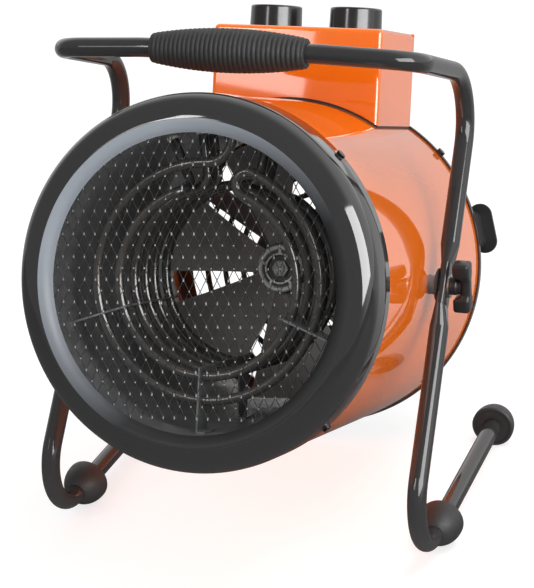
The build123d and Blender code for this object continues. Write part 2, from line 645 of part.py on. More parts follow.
GLAND_Z = BOX_TOP - 36.0
GLAND_PLACE = Plane(origin=(0, BOX_BACK, GLAND_Z), x_dir=(1, 0, 0), z_dir=(0, 1, 0))
PLATE_SCREWS = [(x, z) for x in (-BOX_WIDTH / 2 + 12, BOX_WIDTH / 2 - 12) for z in (BOX_BOTTOM + 14, BOX_TOP - 12)]
with BuildPart() as box_rear_plate:
    with BuildSketch(Plane.XZ.offset(-BOX_BACK - SEAT)):
        with Locations((0, (BOX_TOP + BOX_BOTTOM) / 2)):
            Rectangle(BOX_WIDTH, BOX_TOP - BOX_BOTTOM)
        Circle(BOX_SEAT_R, mode=Mode.SUBTRACT)
        with Locations((0, GLAND_Z)):
            Circle(GLAND_R + SEAT, mode=Mode.SUBTRACT)
        with Locations(*PLATE_SCREWS):
            Circle(SCREW_R + SEAT, mode=Mode.SUBTRACT)
    extrude(amount=-REAR_PLATE)
finish(box_rear_plate, "box_rear_plate", drum_pieces)

with BuildPart() as box_screws:
    with BuildSketch(Plane.XZ.offset(-BOX_BACK - SEAT - REAR_PLATE)):
        with Locations(*PLATE_SCREWS):
            Circle(SCREW_HEAD_R)
    extrude(amount=-SCREW_HEAD)
    with BuildSketch(Plane.XZ.offset(-BOX_BACK - SEAT - REAR_PLATE)):
        with Locations(*PLATE_SCREWS):
            Circle(SCREW_R)
    extrude(amount=SCREW_LENGTH)
finish(box_screws, "box_screws", drum_pieces)

with BuildPart() as box_gasket:
    with BuildSketch(Plane.XY.offset(BOX_BOTTOM - 6.0)):
        with Locations((0, BOX_MIDDLE_Y)):
            Rectangle(BOX_WIDTH, BOX_DEPTH)
            Rectangle(BOX_WIDTH - 2 * GASKET_WIDTH, BOX_DEPTH - 2 * GASKET_WIDTH, mode=Mode.SUBTRACT)
    extrude(amount=RING_R)
    with BuildSketch(Plane.XZ):
        Circle(BOX_SEAT_R - SEAT / 2)
        Circle(SHELL_R + SEAT / 2, mode=Mode.SUBTRACT)
    extrude(amount=-BOX_BACK, mode=Mode.INTERSECT)
finish(box_gasket, "box_gasket", drum_pieces)

# the base bracket stands on the drum inside the gasket; the box's switchgear and screws are held by it
BASE_WIDTH = BOX_WIDTH - 35.0
BASE_DEPTH = BOX_DEPTH - 19.0
BASE_THICK = 1.5
BASE_Z = BOX_TOP - 50.0
BASE_LOW = sqrt(SHELL_R ** 2 - (BASE_WIDTH / 2) ** 2) - 10.0
BASE_HOLE_R = 17.0
with BuildPart() as box_base:
    with BuildSketch(Plane.XZ.offset(-BOX_MIDDLE_Y + BASE_DEPTH / 2)):
        with BuildLine():
            half = BASE_WIDTH / 2
            outline = Polyline((-half, BASE_LOW), (-half, BASE_Z), (half, BASE_Z), (half, BASE_LOW))
            offset(amount=BASE_THICK, side=Side.RIGHT)
        make_face()
    extrude(amount=-BASE_DEPTH)
    with BuildSketch(Plane.XZ.offset(-BOX_MIDDLE_Y + BASE_DEPTH / 2)):
        Circle(SHELL_R + SEAT)
    extrude(amount=-BASE_DEPTH, mode=Mode.SUBTRACT)
    with BuildSketch(Plane.XY.offset(BASE_Z - 5)):
        with Locations((0, BOX_MIDDLE_Y)):
            Circle(BASE_HOLE_R)
    extrude(amount=10, mode=Mode.SUBTRACT)
finish(box_base, "box_base", drum_pieces)

with BuildPart() as grommet:
    with BuildSketch(Plane.XZ.offset(-BOX_MIDDLE_Y)):
        with Locations((GROMMET_R - 2.5, SHELL_R)):
            Rectangle(3.5, 7.0)
    revolve(axis=Axis((0, BOX_MIDDLE_Y, 0), (0, 0, 1)))
finish(grommet, "grommet", drum_pieces)

SWITCH_SIZE = KNOB_SPACING * 0.56
SWITCH_DEEP = 34.0
THERMOSTAT_SIZE = KNOB_SPACING * 0.45
THERMOSTAT_DEEP = 20.0
BUSH_TOP = BOX_TOP + 4.0
SPINDLE_TOP = BOX_TOP + 13.0
SPINDLE_LENGTH = 28.0


def turning_control(place, size, deep):
    """Block under the box top with a threaded bush and nut through it, bored for the spindle."""
    with BuildPart() as block:
        with BuildSketch(Plane.XY.offset(BOX_CEILING - SEAT)):
            with Locations(place):
                RectangleRounded(size, size, 3.0)
        extrude(amount=-deep)
        with BuildSketch(Plane.XY.offset(BOX_CEILING - SEAT)):
            with Locations(place):
                Circle(BUSH_R)
        extrude(amount=BUSH_TOP - BOX_CEILING + SEAT)
        with BuildSketch(Plane.XY.offset(BOX_TOP + SEAT)):
            with Locations(place):
                RegularPolygon(BUSH_R + 3.0, 6)
        extrude(amount=2.5)
        with BuildSketch(Plane.XY.offset(SPINDLE_TOP - SPINDLE_LENGTH - SEAT)):
            with Locations(place):
                Circle(SPINDLE_R + RUN)
        extrude(amount=SPINDLE_LENGTH, mode=Mode.SUBTRACT)
    return block


def spindle(place):
    """Plain spindle that turns in its control and carries the knob."""
    with BuildPart() as rod:
        with BuildSketch(Plane.XY.offset(SPINDLE_TOP - SPINDLE_LENGTH)):
            with Locations(place):
                Circle(SPINDLE_R)
        extrude(amount=SPINDLE_LENGTH)
    return rod


KNOB_SKIRT = 2.4
KNOB_CROWN = 5.0
KNOB_HUB_R = 6.5
KNOB_EDGE = 2.0
KNOB_SLOT = (13.0, 2.4, 0.9)


def knob(place):
    """Round knob: hollow under its crown, with a hub for the spindle and a pointer slot on top."""
    x, y = place
    knob_bottom = BOX_TOP + KNOB_LIFT
    knob_top = knob_bottom + KNOB_HEIGHT
    with BuildPart() as cap:
        with BuildSketch(Plane.XY.offset(knob_bottom)):
            with Locations(place):
                Circle(KNOB_R)
        extrude(amount=KNOB_HEIGHT, taper=1.5)
        fillet(cap.edges().sort_by(Axis.Z)[-1], KNOB_EDGE)
        with BuildSketch(Plane.XY.offset(knob_bottom)):
            with Locations(place):
                Circle(KNOB_R - KNOB_SKIRT)
                Circle(KNOB_HUB_R, mode=Mode.SUBTRACT)
        extrude(amount=KNOB_HEIGHT - KNOB_CROWN, mode=Mode.SUBTRACT)
        with BuildSketch(Plane.XY.offset(knob_bottom)):
            with Locations(place):
                Circle(BUSH_R + 3.0 + SEAT * 2)
        extrude(amount=BUSH_TOP - knob_bottom + SEAT, mode=Mode.SUBTRACT)
        with BuildSketch(Plane.XY.offset(knob_bottom)):
            with Locations(place):
                Circle(SPINDLE_R + RUN)
        extrude(amount=SPINDLE_TOP - knob_bottom + SEAT, mode=Mode.SUBTRACT)
        with BuildSketch(Plane.XY.offset(knob_top - KNOB_SLOT[2])):
            with Locations((x, y - KNOB_R + KNOB_EDGE + KNOB_SLOT[0] / 2 + 1.0)):
                SlotOverall(KNOB_SLOT[0], KNOB_SLOT[1], rotation=90)
        extrude(amount=KNOB_SLOT[2] + 1, mode=Mode.SUBTRACT)
    return cap


finish(turning_control(KNOB_PLACES[0], SWITCH_SIZE, SWITCH_DEEP), "selector_switch", drum_pieces)
finish(turning_control(KNOB_PLACES[1], THERMOSTAT_SIZE, THERMOSTAT_DEEP), "thermostat", drum_pieces)
finish(spindle(KNOB_PLACES[0]), "selector_spindle", drum_pieces)
finish(spindle(KNOB_PLACES[1]), "thermostat_spindle", drum_pieces)
finish(knob(KNOB_PLACES[0]), "selector_knob", drum_pieces)
finish(knob(KNOB_PLACES[1]), "thermostat_knob", drum_pieces)

BLOCK_SIZE = (BASE_WIDTH * 0.42, 18.0, 14.0)
BLOCK_Y = BOX_MIDDLE_Y + BASE_DEPTH / 2 - BLOCK_SIZE[1] / 2 - 3.0
with BuildPart() as terminal_block:
    with BuildSketch(Plane.XY.offset(BASE_Z + BASE_THICK)):
        with Locations((0, BLOCK_Y)):
            Rectangle(BLOCK_SIZE[0], BLOCK_SIZE[1])
    extrude(amount=BLOCK_SIZE[2])
    with BuildSketch(Plane.XY.offset(BASE_Z + BASE_THICK + BLOCK_SIZE[2])):
        with Locations((0, BLOCK_Y)):
            with GridLocations(BLOCK_SIZE[0] / 5, 0, 5, 1):
                Circle(2.6)
    extrude(amount=-4.0, mode=Mode.SUBTRACT)
finish(terminal_block, "terminal_block", drum_pieces)

GLAND_NUT = 5.0
GLAND_INNER = 12.0
GLAND_OUTER = 20.0
with BuildPart() as cable_gland:
    with BuildSketch(GLAND_PLACE.offset(SEAT + REAR_PLATE)):
        RegularPolygon(GLAND_HEX_R, 6)
    extrude(amount=GLAND_NUT)
    with BuildSketch(GLAND_PLACE.offset(SEAT + REAR_PLATE + GLAND_NUT)):
        Circle(GLAND_HEX_R * 0.85)
    extrude(amount=GLAND_OUTER - GLAND_NUT)
    fillet(cable_gland.faces().sort_by(Axis.Y)[-1].edges(), 4.0)
    with BuildSketch(GLAND_PLACE.offset(-GLAND_INNER)):
        Circle(GLAND_R)
    extrude(amount=GLAND_INNER + REAR_PLATE + SEAT)
    with BuildSketch(GLAND_PLACE.offset(-GLAND_NUT)):
        RegularPolygon(GLAND_HEX_R, 6)
    extrude(amount=GLAND_NUT)
    with BuildSketch(GLAND_PLACE.offset(-GLAND_INNER)):
        Circle(GLAND_THROAT_R)
    extrude(amount=GLAND_INNER + REAR_PLATE + SEAT, mode=Mode.SUBTRACT)
    with BuildSketch(GLAND_PLACE.offset(REAR_PLATE + SEAT)):
        Circle(GLAND_BORE_R)
    extrude(amount=GLAND_OUTER, mode=Mode.SUBTRACT)
finish(cable_gland, "cable_gland", drum_pieces)

CUTOUT_ANGLE = 60.0
CUTOUT_Y = -10.0
with BuildPart() as thermal_cutout:
    with BuildSketch(turned_about_drum(CUTOUT_ANGLE, DUCT_R + SEAT, CUTOUT_Y)):
        SlotOverall(28.0, 10.0)
    extrude(amount=1.0)
    with BuildSketch(turned_about_drum(CUTOUT_ANGLE, DUCT_R + SEAT + 1.0, CUTOUT_Y)):
        Circle(8.0)
    extrude(amount=9.0)
finish(thermal_cutout, "thermal_cutout", drum_pieces)

# ---------------------------------------------------------------- screws round the drum's ends
RING_SCREW_ANGLES = (45.0, 135.0, 225.0, 315.0)


def ring_screws(y):
    """Round-headed screws through a ring's skirt into the drum."""
    with BuildPart() as screws:
        for angle in RING_SCREW_ANGLES:
            with BuildSketch(turned_about_drum(angle, RING_R + 0.1, y)):
                Circle(SCREW_HEAD_R)
            extrude(amount=SCREW_HEAD)
    return screws


finish(ring_screws(SHELL_FRONT + FRONT_LAP / 2), "front_ring_screws", drum_pieces)
finish(ring_screws(RIM_BACK - REAR_LAP / 2), "rear_ring_screws", drum_pieces)

# ---------------------------------------------------------------- pivots
BOSS_LIP = 2.0
BOSS_DEEP = 10.0
BOSS_PLATE_R = BOSS_R + 5.0
STUD_IN = SHELL_R - BOSS_DEEP


def pivot_boss(side):
    """Threaded boss on the drum's side: a curved plate inside the shell and a neck through it."""
    out = Plane.YZ.offset(0) if side > 0 else Plane(origin=(0, 0, 0), x_dir=(0, -1, 0), z_dir=(-1, 0, 0))
    with BuildPart() as boss:
        with BuildSketch(out.offset(SHELL_IN_R - BOSS_R)):
            Circle(BOSS_PLATE_R)
        extrude(amount=2 * BOSS_R)
        with BuildSketch(Plane.XZ.offset(-BOSS_R - 10)):
            Circle(SHELL_IN_R - SEAT)
            Circle(SHELL_IN_R - SEAT - BOSS_LIP, mode=Mode.SUBTRACT)
        extrude(amount=2 * BOSS_R + 20, mode=Mode.INTERSECT)
        with BuildSketch(out.offset(STUD_IN)):
            Circle(T_STEM_R)
        extrude(amount=ARM_IN_X - WASHER_THICK - SEAT - STUD_IN)
        with BuildSketch(out.offset(STUD_IN - 1)):
            Circle(STUD_R + RUN)
        extrude(amount=BOSS_DEEP * 2 + 10, mode=Mode.SUBTRACT)
    return boss


def disc_on_axis(side, start, thick, radius, bore):
    """Washer or stud on the tilt axis."""
    out = Plane.YZ if side > 0 else Plane(origin=(0, 0, 0), x_dir=(0, -1, 0), z_dir=(-1, 0, 0))
    with BuildPart() as disc:
        with BuildSketch(out.offset(start)):
            Circle(radius)
            if bore:
                Circle(bore, mode=Mode.SUBTRACT)
        extrude(amount=thick)
    return disc


def clamp_knob(side):
    """T-shaped hand knob: a stem on the arm's washer and a rounded bar across it."""
    out = Plane.YZ if side > 0 else Plane(origin=(0, 0, 0), x_dir=(0, -1, 0), z_dir=(-1, 0, 0))
    stem_start = ARM_OUT_X + WASHER_THICK + SEAT
    with BuildPart() as grip:
        with BuildSketch(out.offset(stem_start)):
            Circle(T_STEM_R)
        extrude(amount=T_STEM_LENGTH)
        with BuildSketch(out.offset(stem_start + T_STEM_LENGTH)):
            SlotOverall(T_LENGTH, T_WIDTH, rotation=90)
        extrude(amount=T_THICK)
        fillet(grip.faces().sort_by(Axis.X)[-1 if side > 0 else 0].edges(), 2.5)
        with BuildSketch(out.offset(stem_start - 1)):
            Circle(STUD_R + RUN)
        extrude(amount=T_STEM_LENGTH + 1, mode=Mode.SUBTRACT)
    return grip


for side, side_name in ((-1, "left"), (1, "right")):
    finish(pivot_boss(side), f"pivot_boss_{side_name}", drum_pieces)
    finish(disc_on_axis(side, ARM_IN_X - WASHER_THICK - SEAT / 2, WASHER_THICK, WASHER_R, STUD_R + SEAT),
           f"friction_washer_{side_name}", stand_pieces)
    finish(clamp_knob(side), f"clamp_knob_{side_name}", stand_pieces)
    stud_out = ARM_OUT_X + WASHER_THICK + SEAT + T_STEM_LENGTH - RUN
    finish(disc_on_axis(side, STUD_IN + 2.0, stud_out - STUD_IN - 2.0, STUD_R, 0),
           f"clamp_stud_{side_name}", stand_pieces)
    finish(disc_on_axis(side, ARM_OUT_X + SEAT / 2, WASHER_THICK, T_STEM_R + 2.0, STUD_R + RUN),
           f"clamp_washer_{side_name}", stand_pieces)

# ---------------------------------------------------------------- stand: one bent tube
RISE = radians(ARM_DROP)
LEAN = radians(ARM_LEAN)
SPLAY = radians(ARM_SPLAY)
UP_THE_ARM = Vector(-sin(SPLAY), cos(SPLAY) * sin(LEAN), cos(SPLAY) * cos(LEAN))


def arm_point(along):
    """Point of the right arm's straight part at a distance from the pivot, upwards."""
    return Vector(ARM_PIVOT_X, 0, 0) + UP_THE_ARM * along


def across_arm(along):
    """Plane square to the right arm, with its X across the drum."""
    return Plane(origin=arm_point(along), x_dir=(1, 0, 0), z_dir=UP_THE_ARM)


def across_flat(along):
    """Plane across the pressed part of the right arm, whose flats stay square to the tilt axis."""
    return Plane(origin=(ARM_PIVOT_X, along * sin(LEAN), along * cos(LEAN)), x_dir=(1, 0, 0),
                 z_dir=(0, sin(LEAN), cos(LEAN)))


def mirrored(point):
    """The same point on the left arm."""
    return Vector(-point.X, point.Y, point.Z)


# the knee is where the tube that drops behind the bar meets the line of the arm
KNEE_ALONG = (BAR_Z * cos(RISE) + BAR_Y * sin(RISE)) / (cos(LEAN) * cos(RISE) + sin(LEAN) * sin(RISE)) / cos(SPLAY)
FOOT_ALONG = FOOT_Z / cos(LEAN) / cos(SPLAY)
FLAT_HALF = FLAT_LENGTH / 2
BLEND_HALF = FLAT_HALF + FLAT_BLEND
KNEE = arm_point(KNEE_ALONG)
HEEL = arm_point(FOOT_ALONG)
BAR_END = Vector(KNEE.X - BAR_TUCK, BAR_Y, BAR_Z)
BAR_SHOULDER = Vector(BAR_LEVEL, BAR_Y, BAR_Z + BAR_ARCH)
BAR_RADII = [KNEE_BEND, CORNER_BEND, ARCH_BEND, ARCH_BEND, CORNER_BEND, KNEE_BEND]
TUBE_END = Vector(HEEL.X, BALL_BACK_Y + BALL_DEEP, FOOT_Z)


def tube_along(line):
    """Sweep the tube's section along a path."""
    path = line.wires()[0]
    with BuildSketch(Plane(origin=path @ 0, z_dir=path % 0)) as section:
        Circle(TUBE_R)
        Circle(TUBE_R - TUBE_WALL, mode=Mode.SUBTRACT)
    sweep(section.sketch, path=path)


def pressed_loft(outer, mode):
    """One blend from round to flat, the flat, and the blend back, of the tube's outside or its bore."""
    wall = 0 if outer else TUBE_WALL
    round_size = 2 * (TUBE_R - wall)
    flat_wide, flat_thick = FLAT_WIDE - 2 * wall, FLAT_THICK - 2 * wall
    for way in (-1, 1):
        with BuildSketch(across_flat(way * FLAT_HALF)) as flat:
            SlotOverall(flat_wide, flat_thick, rotation=90)
        with BuildSketch(across_arm(way * BLEND_HALF)) as round_end:
            SlotOverall(round_size + RUN, round_size, rotation=90)
        loft([flat.sketch, round_end.sketch], ruled=True, mode=mode)
    with BuildSketch(across_flat(-FLAT_HALF)) as middle:
        SlotOverall(flat_wide, flat_thick, rotation=90)
    extrude(middle.sketch, amount=2 * FLAT_HALF, mode=mode)


with BuildLine() as bar_line:
    FilletPolyline(mirrored(arm_point(BLEND_HALF)), mirrored(KNEE), mirrored(BAR_END), mirrored(BAR_SHOULDER),
                   BAR_SHOULDER, BAR_END, KNEE, arm_point(BLEND_HALF), radius=BAR_RADII)
with BuildLine() as foot_line:
    FilletPolyline(arm_point(-BLEND_HALF), HEEL, TUBE_END, radius=[FOOT_BEND])

with BuildPart() as right_leg:
    pressed_loft(True, Mode.ADD)
    pressed_loft(False, Mode.SUBTRACT)
    tube_along(foot_line)
    with BuildSketch(Plane.YZ.offset(ARM_PIVOT_X - FLAT_THICK)):
        Circle(STUD_R + RUN)
    extrude(amount=2 * FLAT_THICK, mode=Mode.SUBTRACT)

with BuildPart() as frame_tube:
    tube_along(bar_line)
    add(right_leg.part)
    mirror(right_leg.part, about=Plane.YZ)
finish(frame_tube, "frame_tube", stand_pieces)

# ---------------------------------------------------------------- grip and feet
GRIP_COLLAR = 4.0
GRIP_AXIS = Axis((0, BAR_Y, BAR_Z + BAR_ARCH), (1, 0, 0))
GRIP_PITCH = (GRIP_LENGTH - 2 * GRIP_COLLAR) / GRIP_RIBS
GRIP_PLANE = Plane(origin=(0, BAR_Y, BAR_Z + BAR_ARCH), x_dir=(1, 0, 0), z_dir=(0, -1, 0))


def grip_radius(x):
    """Crown of the grip at a distance from its middle."""
    return GRIP_END_R + (GRIP_MIDDLE_R - GRIP_END_R) * (1 - (2 * x / GRIP_LENGTH) ** 2)


with BuildPart() as handle_grip:
    with BuildSketch(GRIP_PLANE):
        end = GRIP_LENGTH / 2
        first = -end + GRIP_COLLAR
        outline = [(-end, TUBE_R + RUN), (-end, GRIP_END_R), (first, GRIP_END_R)]
        for rib in range(GRIP_RIBS):
            middle = first + (rib + 0.5) * GRIP_PITCH
            outline.append((middle, grip_radius(middle)))
            if rib < GRIP_RIBS - 1:
                groove = middle + GRIP_PITCH / 2
                outline.append((groove, grip_radius(groove) - GRIP_GROOVE))
        outline += [(end - GRIP_COLLAR, GRIP_END_R), (end, GRIP_END_R), (end, TUBE_R + RUN)]
        Polygon(*outline, align=None)
    revolve(axis=GRIP_AXIS)
finish(handle_grip, "handle_grip", stand_pieces)


def ball_foot(side, y, blind):
    """Rubber ball on a foot bar, worn flat underneath; a blind one caps the end of the bar."""
    centre = Vector(side * HEEL.X, y, FOOT_Z)
    bore_end = BALL_DEEP + SEAT if blind else 2 * BALL_R
    with BuildPart() as ball:
        with Locations(centre):
            Sphere(BALL_R)
        with BuildSketch(Plane(origin=centre + Vector(0, bore_end, 0), x_dir=(1, 0, 0), z_dir=(0, -1, 0))):
            Circle(TUBE_R + RUN)
        extrude(amount=bore_end + 2 * BALL_R, mode=Mode.SUBTRACT)
        split(bisect_by=Plane(origin=(0, 0, FLOOR_Z), z_dir=(0, 0, 1)), keep=Keep.TOP)
    return ball


for side, side_name in ((-1, "left"), (1, "right")):
    finish(ball_foot(side, BALL_FRONT_Y, False), f"front_foot_{side_name}", stand_pieces)
    finish(ball_foot(side, BALL_BACK_Y, True), f"rear_foot_{side_name}", stand_pieces)

# ---------------------------------------------------------------- placed and written
# the origin is on the floor, half way between the foremost and the rearmost point
TIPPED = Location((0, 0, 0), (-TILT, 0, 0))
boxes = [piece.moved(TIPPED).bounding_box() for piece in drum_pieces]
boxes += [piece.bounding_box() for piece in stand_pieces]
PIVOT_Y = -(min(box.min.Y for box in boxes) + max(box.max.Y for box in boxes)) / 2
ON_STAND = Location((0, PIVOT_Y, PIVOT_HEIGHT))
ON_DRUM = Location((0, PIVOT_Y, PIVOT_HEIGHT), (-TILT, 0, 0))

os.makedirs("parts", exist_ok=True)
for pieces, place in ((drum_pieces, ON_DRUM), (stand_pieces, ON_STAND)):
    for piece in pieces:
        placed = piece.moved(place)
        placed.label = piece.label
        export_step(placed, f"parts/{piece.label}.step")
print(f"pivot at y {PIVOT_Y:.4f}, z {PIVOT_HEIGHT:.3f}; feet at x {HEEL.X:.4f}")
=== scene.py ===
import json
import logging
import math
from collections.abc import Iterator
from contextlib import contextmanager
from dataclasses import dataclass
from enum import Enum

import bpy
from mathutils import Matrix, Vector


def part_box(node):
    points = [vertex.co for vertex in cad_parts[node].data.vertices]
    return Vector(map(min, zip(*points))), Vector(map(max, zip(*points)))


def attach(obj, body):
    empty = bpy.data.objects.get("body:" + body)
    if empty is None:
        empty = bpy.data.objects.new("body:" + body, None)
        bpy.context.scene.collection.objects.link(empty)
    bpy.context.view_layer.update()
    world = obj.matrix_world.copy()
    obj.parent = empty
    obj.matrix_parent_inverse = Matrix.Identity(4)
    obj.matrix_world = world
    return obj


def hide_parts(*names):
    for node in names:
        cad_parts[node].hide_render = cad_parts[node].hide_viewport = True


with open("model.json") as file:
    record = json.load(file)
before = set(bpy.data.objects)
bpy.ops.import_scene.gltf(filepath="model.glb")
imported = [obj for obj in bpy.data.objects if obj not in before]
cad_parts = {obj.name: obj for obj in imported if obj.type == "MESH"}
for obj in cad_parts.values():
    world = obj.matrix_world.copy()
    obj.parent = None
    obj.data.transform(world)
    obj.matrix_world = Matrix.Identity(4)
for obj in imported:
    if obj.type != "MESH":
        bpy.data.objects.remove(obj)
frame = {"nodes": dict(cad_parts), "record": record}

LOG = logging.getLogger("forced_air_heater")

Colour = tuple[float, float, float]
Triple = tuple[float, float, float]
Pair = tuple[float, float]
Profile = list[Pair]
Socket = bpy.types.NodeSocket
Piece = bpy.types.Object

# The drum hangs on its two pivots and looks up by its tilt at rest. Its pieces are made with the drum's
# axis level, along Y and through the origin.
PIVOT = Vector((0.0, -0.0134663, 0.216))
TILT = math.radians(18.5)
ON_DRUM = Matrix.Translation(PIVOT) @ Matrix.Rotation(-TILT, 4, "X")

# Turns a piece that was made upright, about Z, so that its top faces the front.
FACE_FRONT = Matrix.Rotation(math.radians(90.0), 4, "X")

# Noise factors that count as lowest and highest.
NOISE_LOW = 0.3
NOISE_HIGH = 0.7

# Octaves of fine scuffs, and the strength of the finer ones.
FINE_DETAIL = 4.0
FINE_ROUGH = 0.6

# Width of the photograph in pixels, and of the camera's sensor in millimetres.
PICTURE_WIDTH = 534.0
SENSOR_WIDTH = 36.0

WHITE = (1.0, 1.0, 1.0)


# ---------------------------------------------------------------- finishes
class Shader:
    """A node material while its nodes are being laid out."""

    def __init__(self, name: str) -> None:
        """Start a material with its principled shader.

        Args:
            name: Name of the material.
        """
        self.material = bpy.data.materials.new(name)
        self.material.use_nodes = True
        self.tree = self.material.node_tree
        self.surface = self.tree.nodes["Principled BSDF"]
        self.place = self.tree.nodes.new("ShaderNodeTexCoord").outputs["Object"]

    def node(self, kind: str, **inputs: object) -> bpy.types.Node:
        """Add a node and set or link its inputs.

        Args:
            kind: Class name of the node.
            **inputs: Values or sockets by input name, with _ for a space.

        Returns:
            The new node.
        """
        made = self.tree.nodes.new(kind)
        for name, value in inputs.items():
            self.set(made, name.replace("_", " "), value)
        return made

    def set(self, node: bpy.types.Node, name: str, value: object) -> None:
        """Give an input a value, or link a socket to it.

        Args:
            node: The node.
            name: Name of its input.
            value: The value or the socket.
        """
        if isinstance(value, Socket):
            self.tree.links.new(value, node.inputs[name])
        elif isinstance(value, tuple) and len(value) == 3 and node.inputs[name].type == "RGBA":
            node.inputs[name].default_value = (*value, 1.0)
        else:
            node.inputs[name].default_value = value

    def shade(self, **inputs: object) -> None:
        """Set or link inputs of the surface."""
        for name, value in inputs.items():
            self.set(self.surface, name.replace("_", " "), value)

    def noise(
        self, scale: float, detail: float = 3.0, rough: float = 0.5, stretch: Triple | None = None
    ) -> Socket:
        """Noise in object space.

        Args:
            scale: Patches to the metre.
            detail: Octaves.
            rough: Strength of the finer octaves.
            stretch: Scale of each axis before the noise, for brushed marks.

        Returns:
            The noise's factor socket.
        """
        place = self.place
        if stretch is not None:
            place = self.node("ShaderNodeMapping", Vector=self.place, Scale=stretch).outputs["Vector"]
        made = self.node("ShaderNodeTexNoise", Vector=place, Scale=scale, Detail=detail, Roughness=rough)
        return made.outputs["Fac"]

    def span(
        self, source: Socket, low: float, high: float, start: float = NOISE_LOW, end: float = NOISE_HIGH
    ) -> Socket:
        """Map a factor from start..end to low..high.

        Args:
            source: Factor to map.
            low: Value at start.
            high: Value at end.
            start: Lowest factor that counts.
            end: Highest factor that counts.

        Returns:
            The mapped value's socket.
        """
        limits = {"From_Min": start, "From_Max": end, "To_Min": low, "To_Max": high}
        return self.node("ShaderNodeMapRange", Value=source, **limits).outputs["Result"]

    def scuffed(self, scale: float, roughness: float, shares: Pair) -> Socket:
        """Roughness that varies with fine scuffs.

        Args:
            scale: Scuffs to the metre.
            roughness: The finish's own roughness.
            shares: Least and most of it that shows.

        Returns:
            The roughness socket.
        """
        scuffs = self.noise(scale, FINE_DETAIL, FINE_ROUGH)
        return self.span(scuffs, roughness * shares[0], min(roughness * shares[1], 1.0))

    def ramp(self, source: Socket, stops: list[tuple[float, Colour]]) -> Socket:
        """Colour ramp.

        Args:
            source: Factor to colour.
            stops: Place and colour of each stop.

        Returns:
            The colour socket.
        """
        made = self.node("ShaderNodeValToRGB", Fac=source)
        band = made.color_ramp
        while len(band.elements) < len(stops):
            band.elements.new(0.5)
        for element, (at, colour) in zip(band.elements, stops):
            element.position = at
            element.color = (*colour, 1.0)
        return made.outputs["Color"]

    def bump(self, height: Socket, distance: float, strength: float = 1.0) -> Socket:
        """The normal of a bump.

        Args:
            height: Height factor.
            distance: Height in metres of a factor of one.
            strength: How much of it shows.

        Returns:
            The normal socket.
        """
        made = self.node("ShaderNodeBump", Height=height, Distance=distance, Strength=strength)
        return made.outputs["Normal"]

    def vector_math(self, operation: str, first: Socket, second: Triple | None = None) -> bpy.types.Node:
        """Vector arithmetic on a socket.

        Args:
            operation: Name of the operation.
            first: The socket.
            second: Fixed second vector, where the operation has one.

        Returns:
            The new node.
        """
        made = self.node("ShaderNodeVectorMath")
        made.operation = operation
        self.tree.links.new(first, made.inputs[0])
        if second is not None:
            made.inputs[1].default_value = second
        return made

    def mix(self, share: Socket, low: Socket | float, high: Socket | float) -> Socket:
        """One value where the share is 0 and another where it is 1."""
        return self.node("ShaderNodeMix", Factor=share, A=low, B=high).outputs["Result"]


class WorldShader(Shader):
    """The nodes of the surroundings while they are being laid out."""

    def __init__(self, name: str) -> None:
        """Start a world with its background.

        Args:
            name: Name of the world.
        """
        self.world = bpy.data.worlds.new(name)
        self.world.use_nodes = True
        self.tree = self.world.node_tree
        self.surface = self.tree.nodes["Background"]
        self.place = self.tree.nodes.new("ShaderNodeTexCoord").outputs["Generated"]


def darker(colour: Colour, share: float) -> Colour:
    """The colour times a share."""
    return (colour[0] * share, colour[1] * share, colour[2] * share)


@dataclass(frozen=True)
class Coating:
    """What every finish has: its name, its colour and how rough it is."""

    title: str
    colour: Colour
    roughness: float

    def lay(self, shader: Shader) -> None:
        """Set the shader, in each finish's own way."""
        raise NotImplementedError

    def make(self) -> bpy.types.Material:
        """Build the material.

        Returns:
            The material.
        """
        shader = Shader(f"{self.title}_finish")
        self.lay(shader)
        return shader.material


@dataclass(frozen=True)
class GlossPaint(Coating):
    """Baked gloss paint with a little orange peel and fine scuffs."""

    peel: float = 0.000004
    body_index: float = 1.45
    coat: float = 1.0
    coat_roughness: float = 0.03
    coat_index: float = 1.7
    peel_scale: float = 210.0
    cloud_scale: float = 9.0
    cloud_share: float = 0.93
    scuff_scale: float = 160.0
    scuff_shares: Pair = (0.75, 1.4)

    def lay(self, shader: Shader) -> None:
        """Set the shader.

        Args:
            shader: The shader.
        """
        stops = [(NOISE_LOW, darker(self.colour, self.cloud_share)), (NOISE_HIGH, self.colour)]
        shader.shade(
            Base_Color=shader.ramp(shader.noise(self.cloud_scale), stops),
            Roughness=shader.scuffed(self.scuff_scale, self.roughness, self.scuff_shares),
            Normal=shader.bump(shader.noise(self.peel_scale, 1.0), self.peel),
            IOR=self.body_index,
            Coat_Weight=self.coat,
            Coat_Roughness=self.coat_roughness,
            Coat_IOR=self.coat_index,
        )


@dataclass(frozen=True)
class Moulded(Coating):
    """Moulded plastic or rubber with a fine grain."""

    grain: float
    grain_scale: float = 1400.0
    grain_strength: float = 0.6
    coat: float = 0.0
    coat_roughness: float = 0.1
    index: float = 1.5
    cloud_scale: float = 30.0
    cloud_shares: Pair = (0.8, 1.15)
    cloud_end: float = 0.75
    scuff_scale: float = 220.0
    scuff_shares: Pair = (0.85, 1.2)

    def lay(self, shader: Shader) -> None:
        """Set the shader.

        Args:
            shader: The shader.
        """
        dark, light = (darker(self.colour, share) for share in self.cloud_shares)
        stops = [(NOISE_LOW, dark), (self.cloud_end, light)]
        shader.shade(
            Base_Color=shader.ramp(shader.noise(self.cloud_scale, FINE_DETAIL), stops),
            Roughness=shader.scuffed(self.scuff_scale, self.roughness, self.scuff_shares),
            Normal=shader.bump(shader.noise(self.grain_scale, 2.0), self.grain, self.grain_strength),
            IOR=self.index,
            Coat_Weight=self.coat,
            Coat_Roughness=self.coat_roughness,
        )


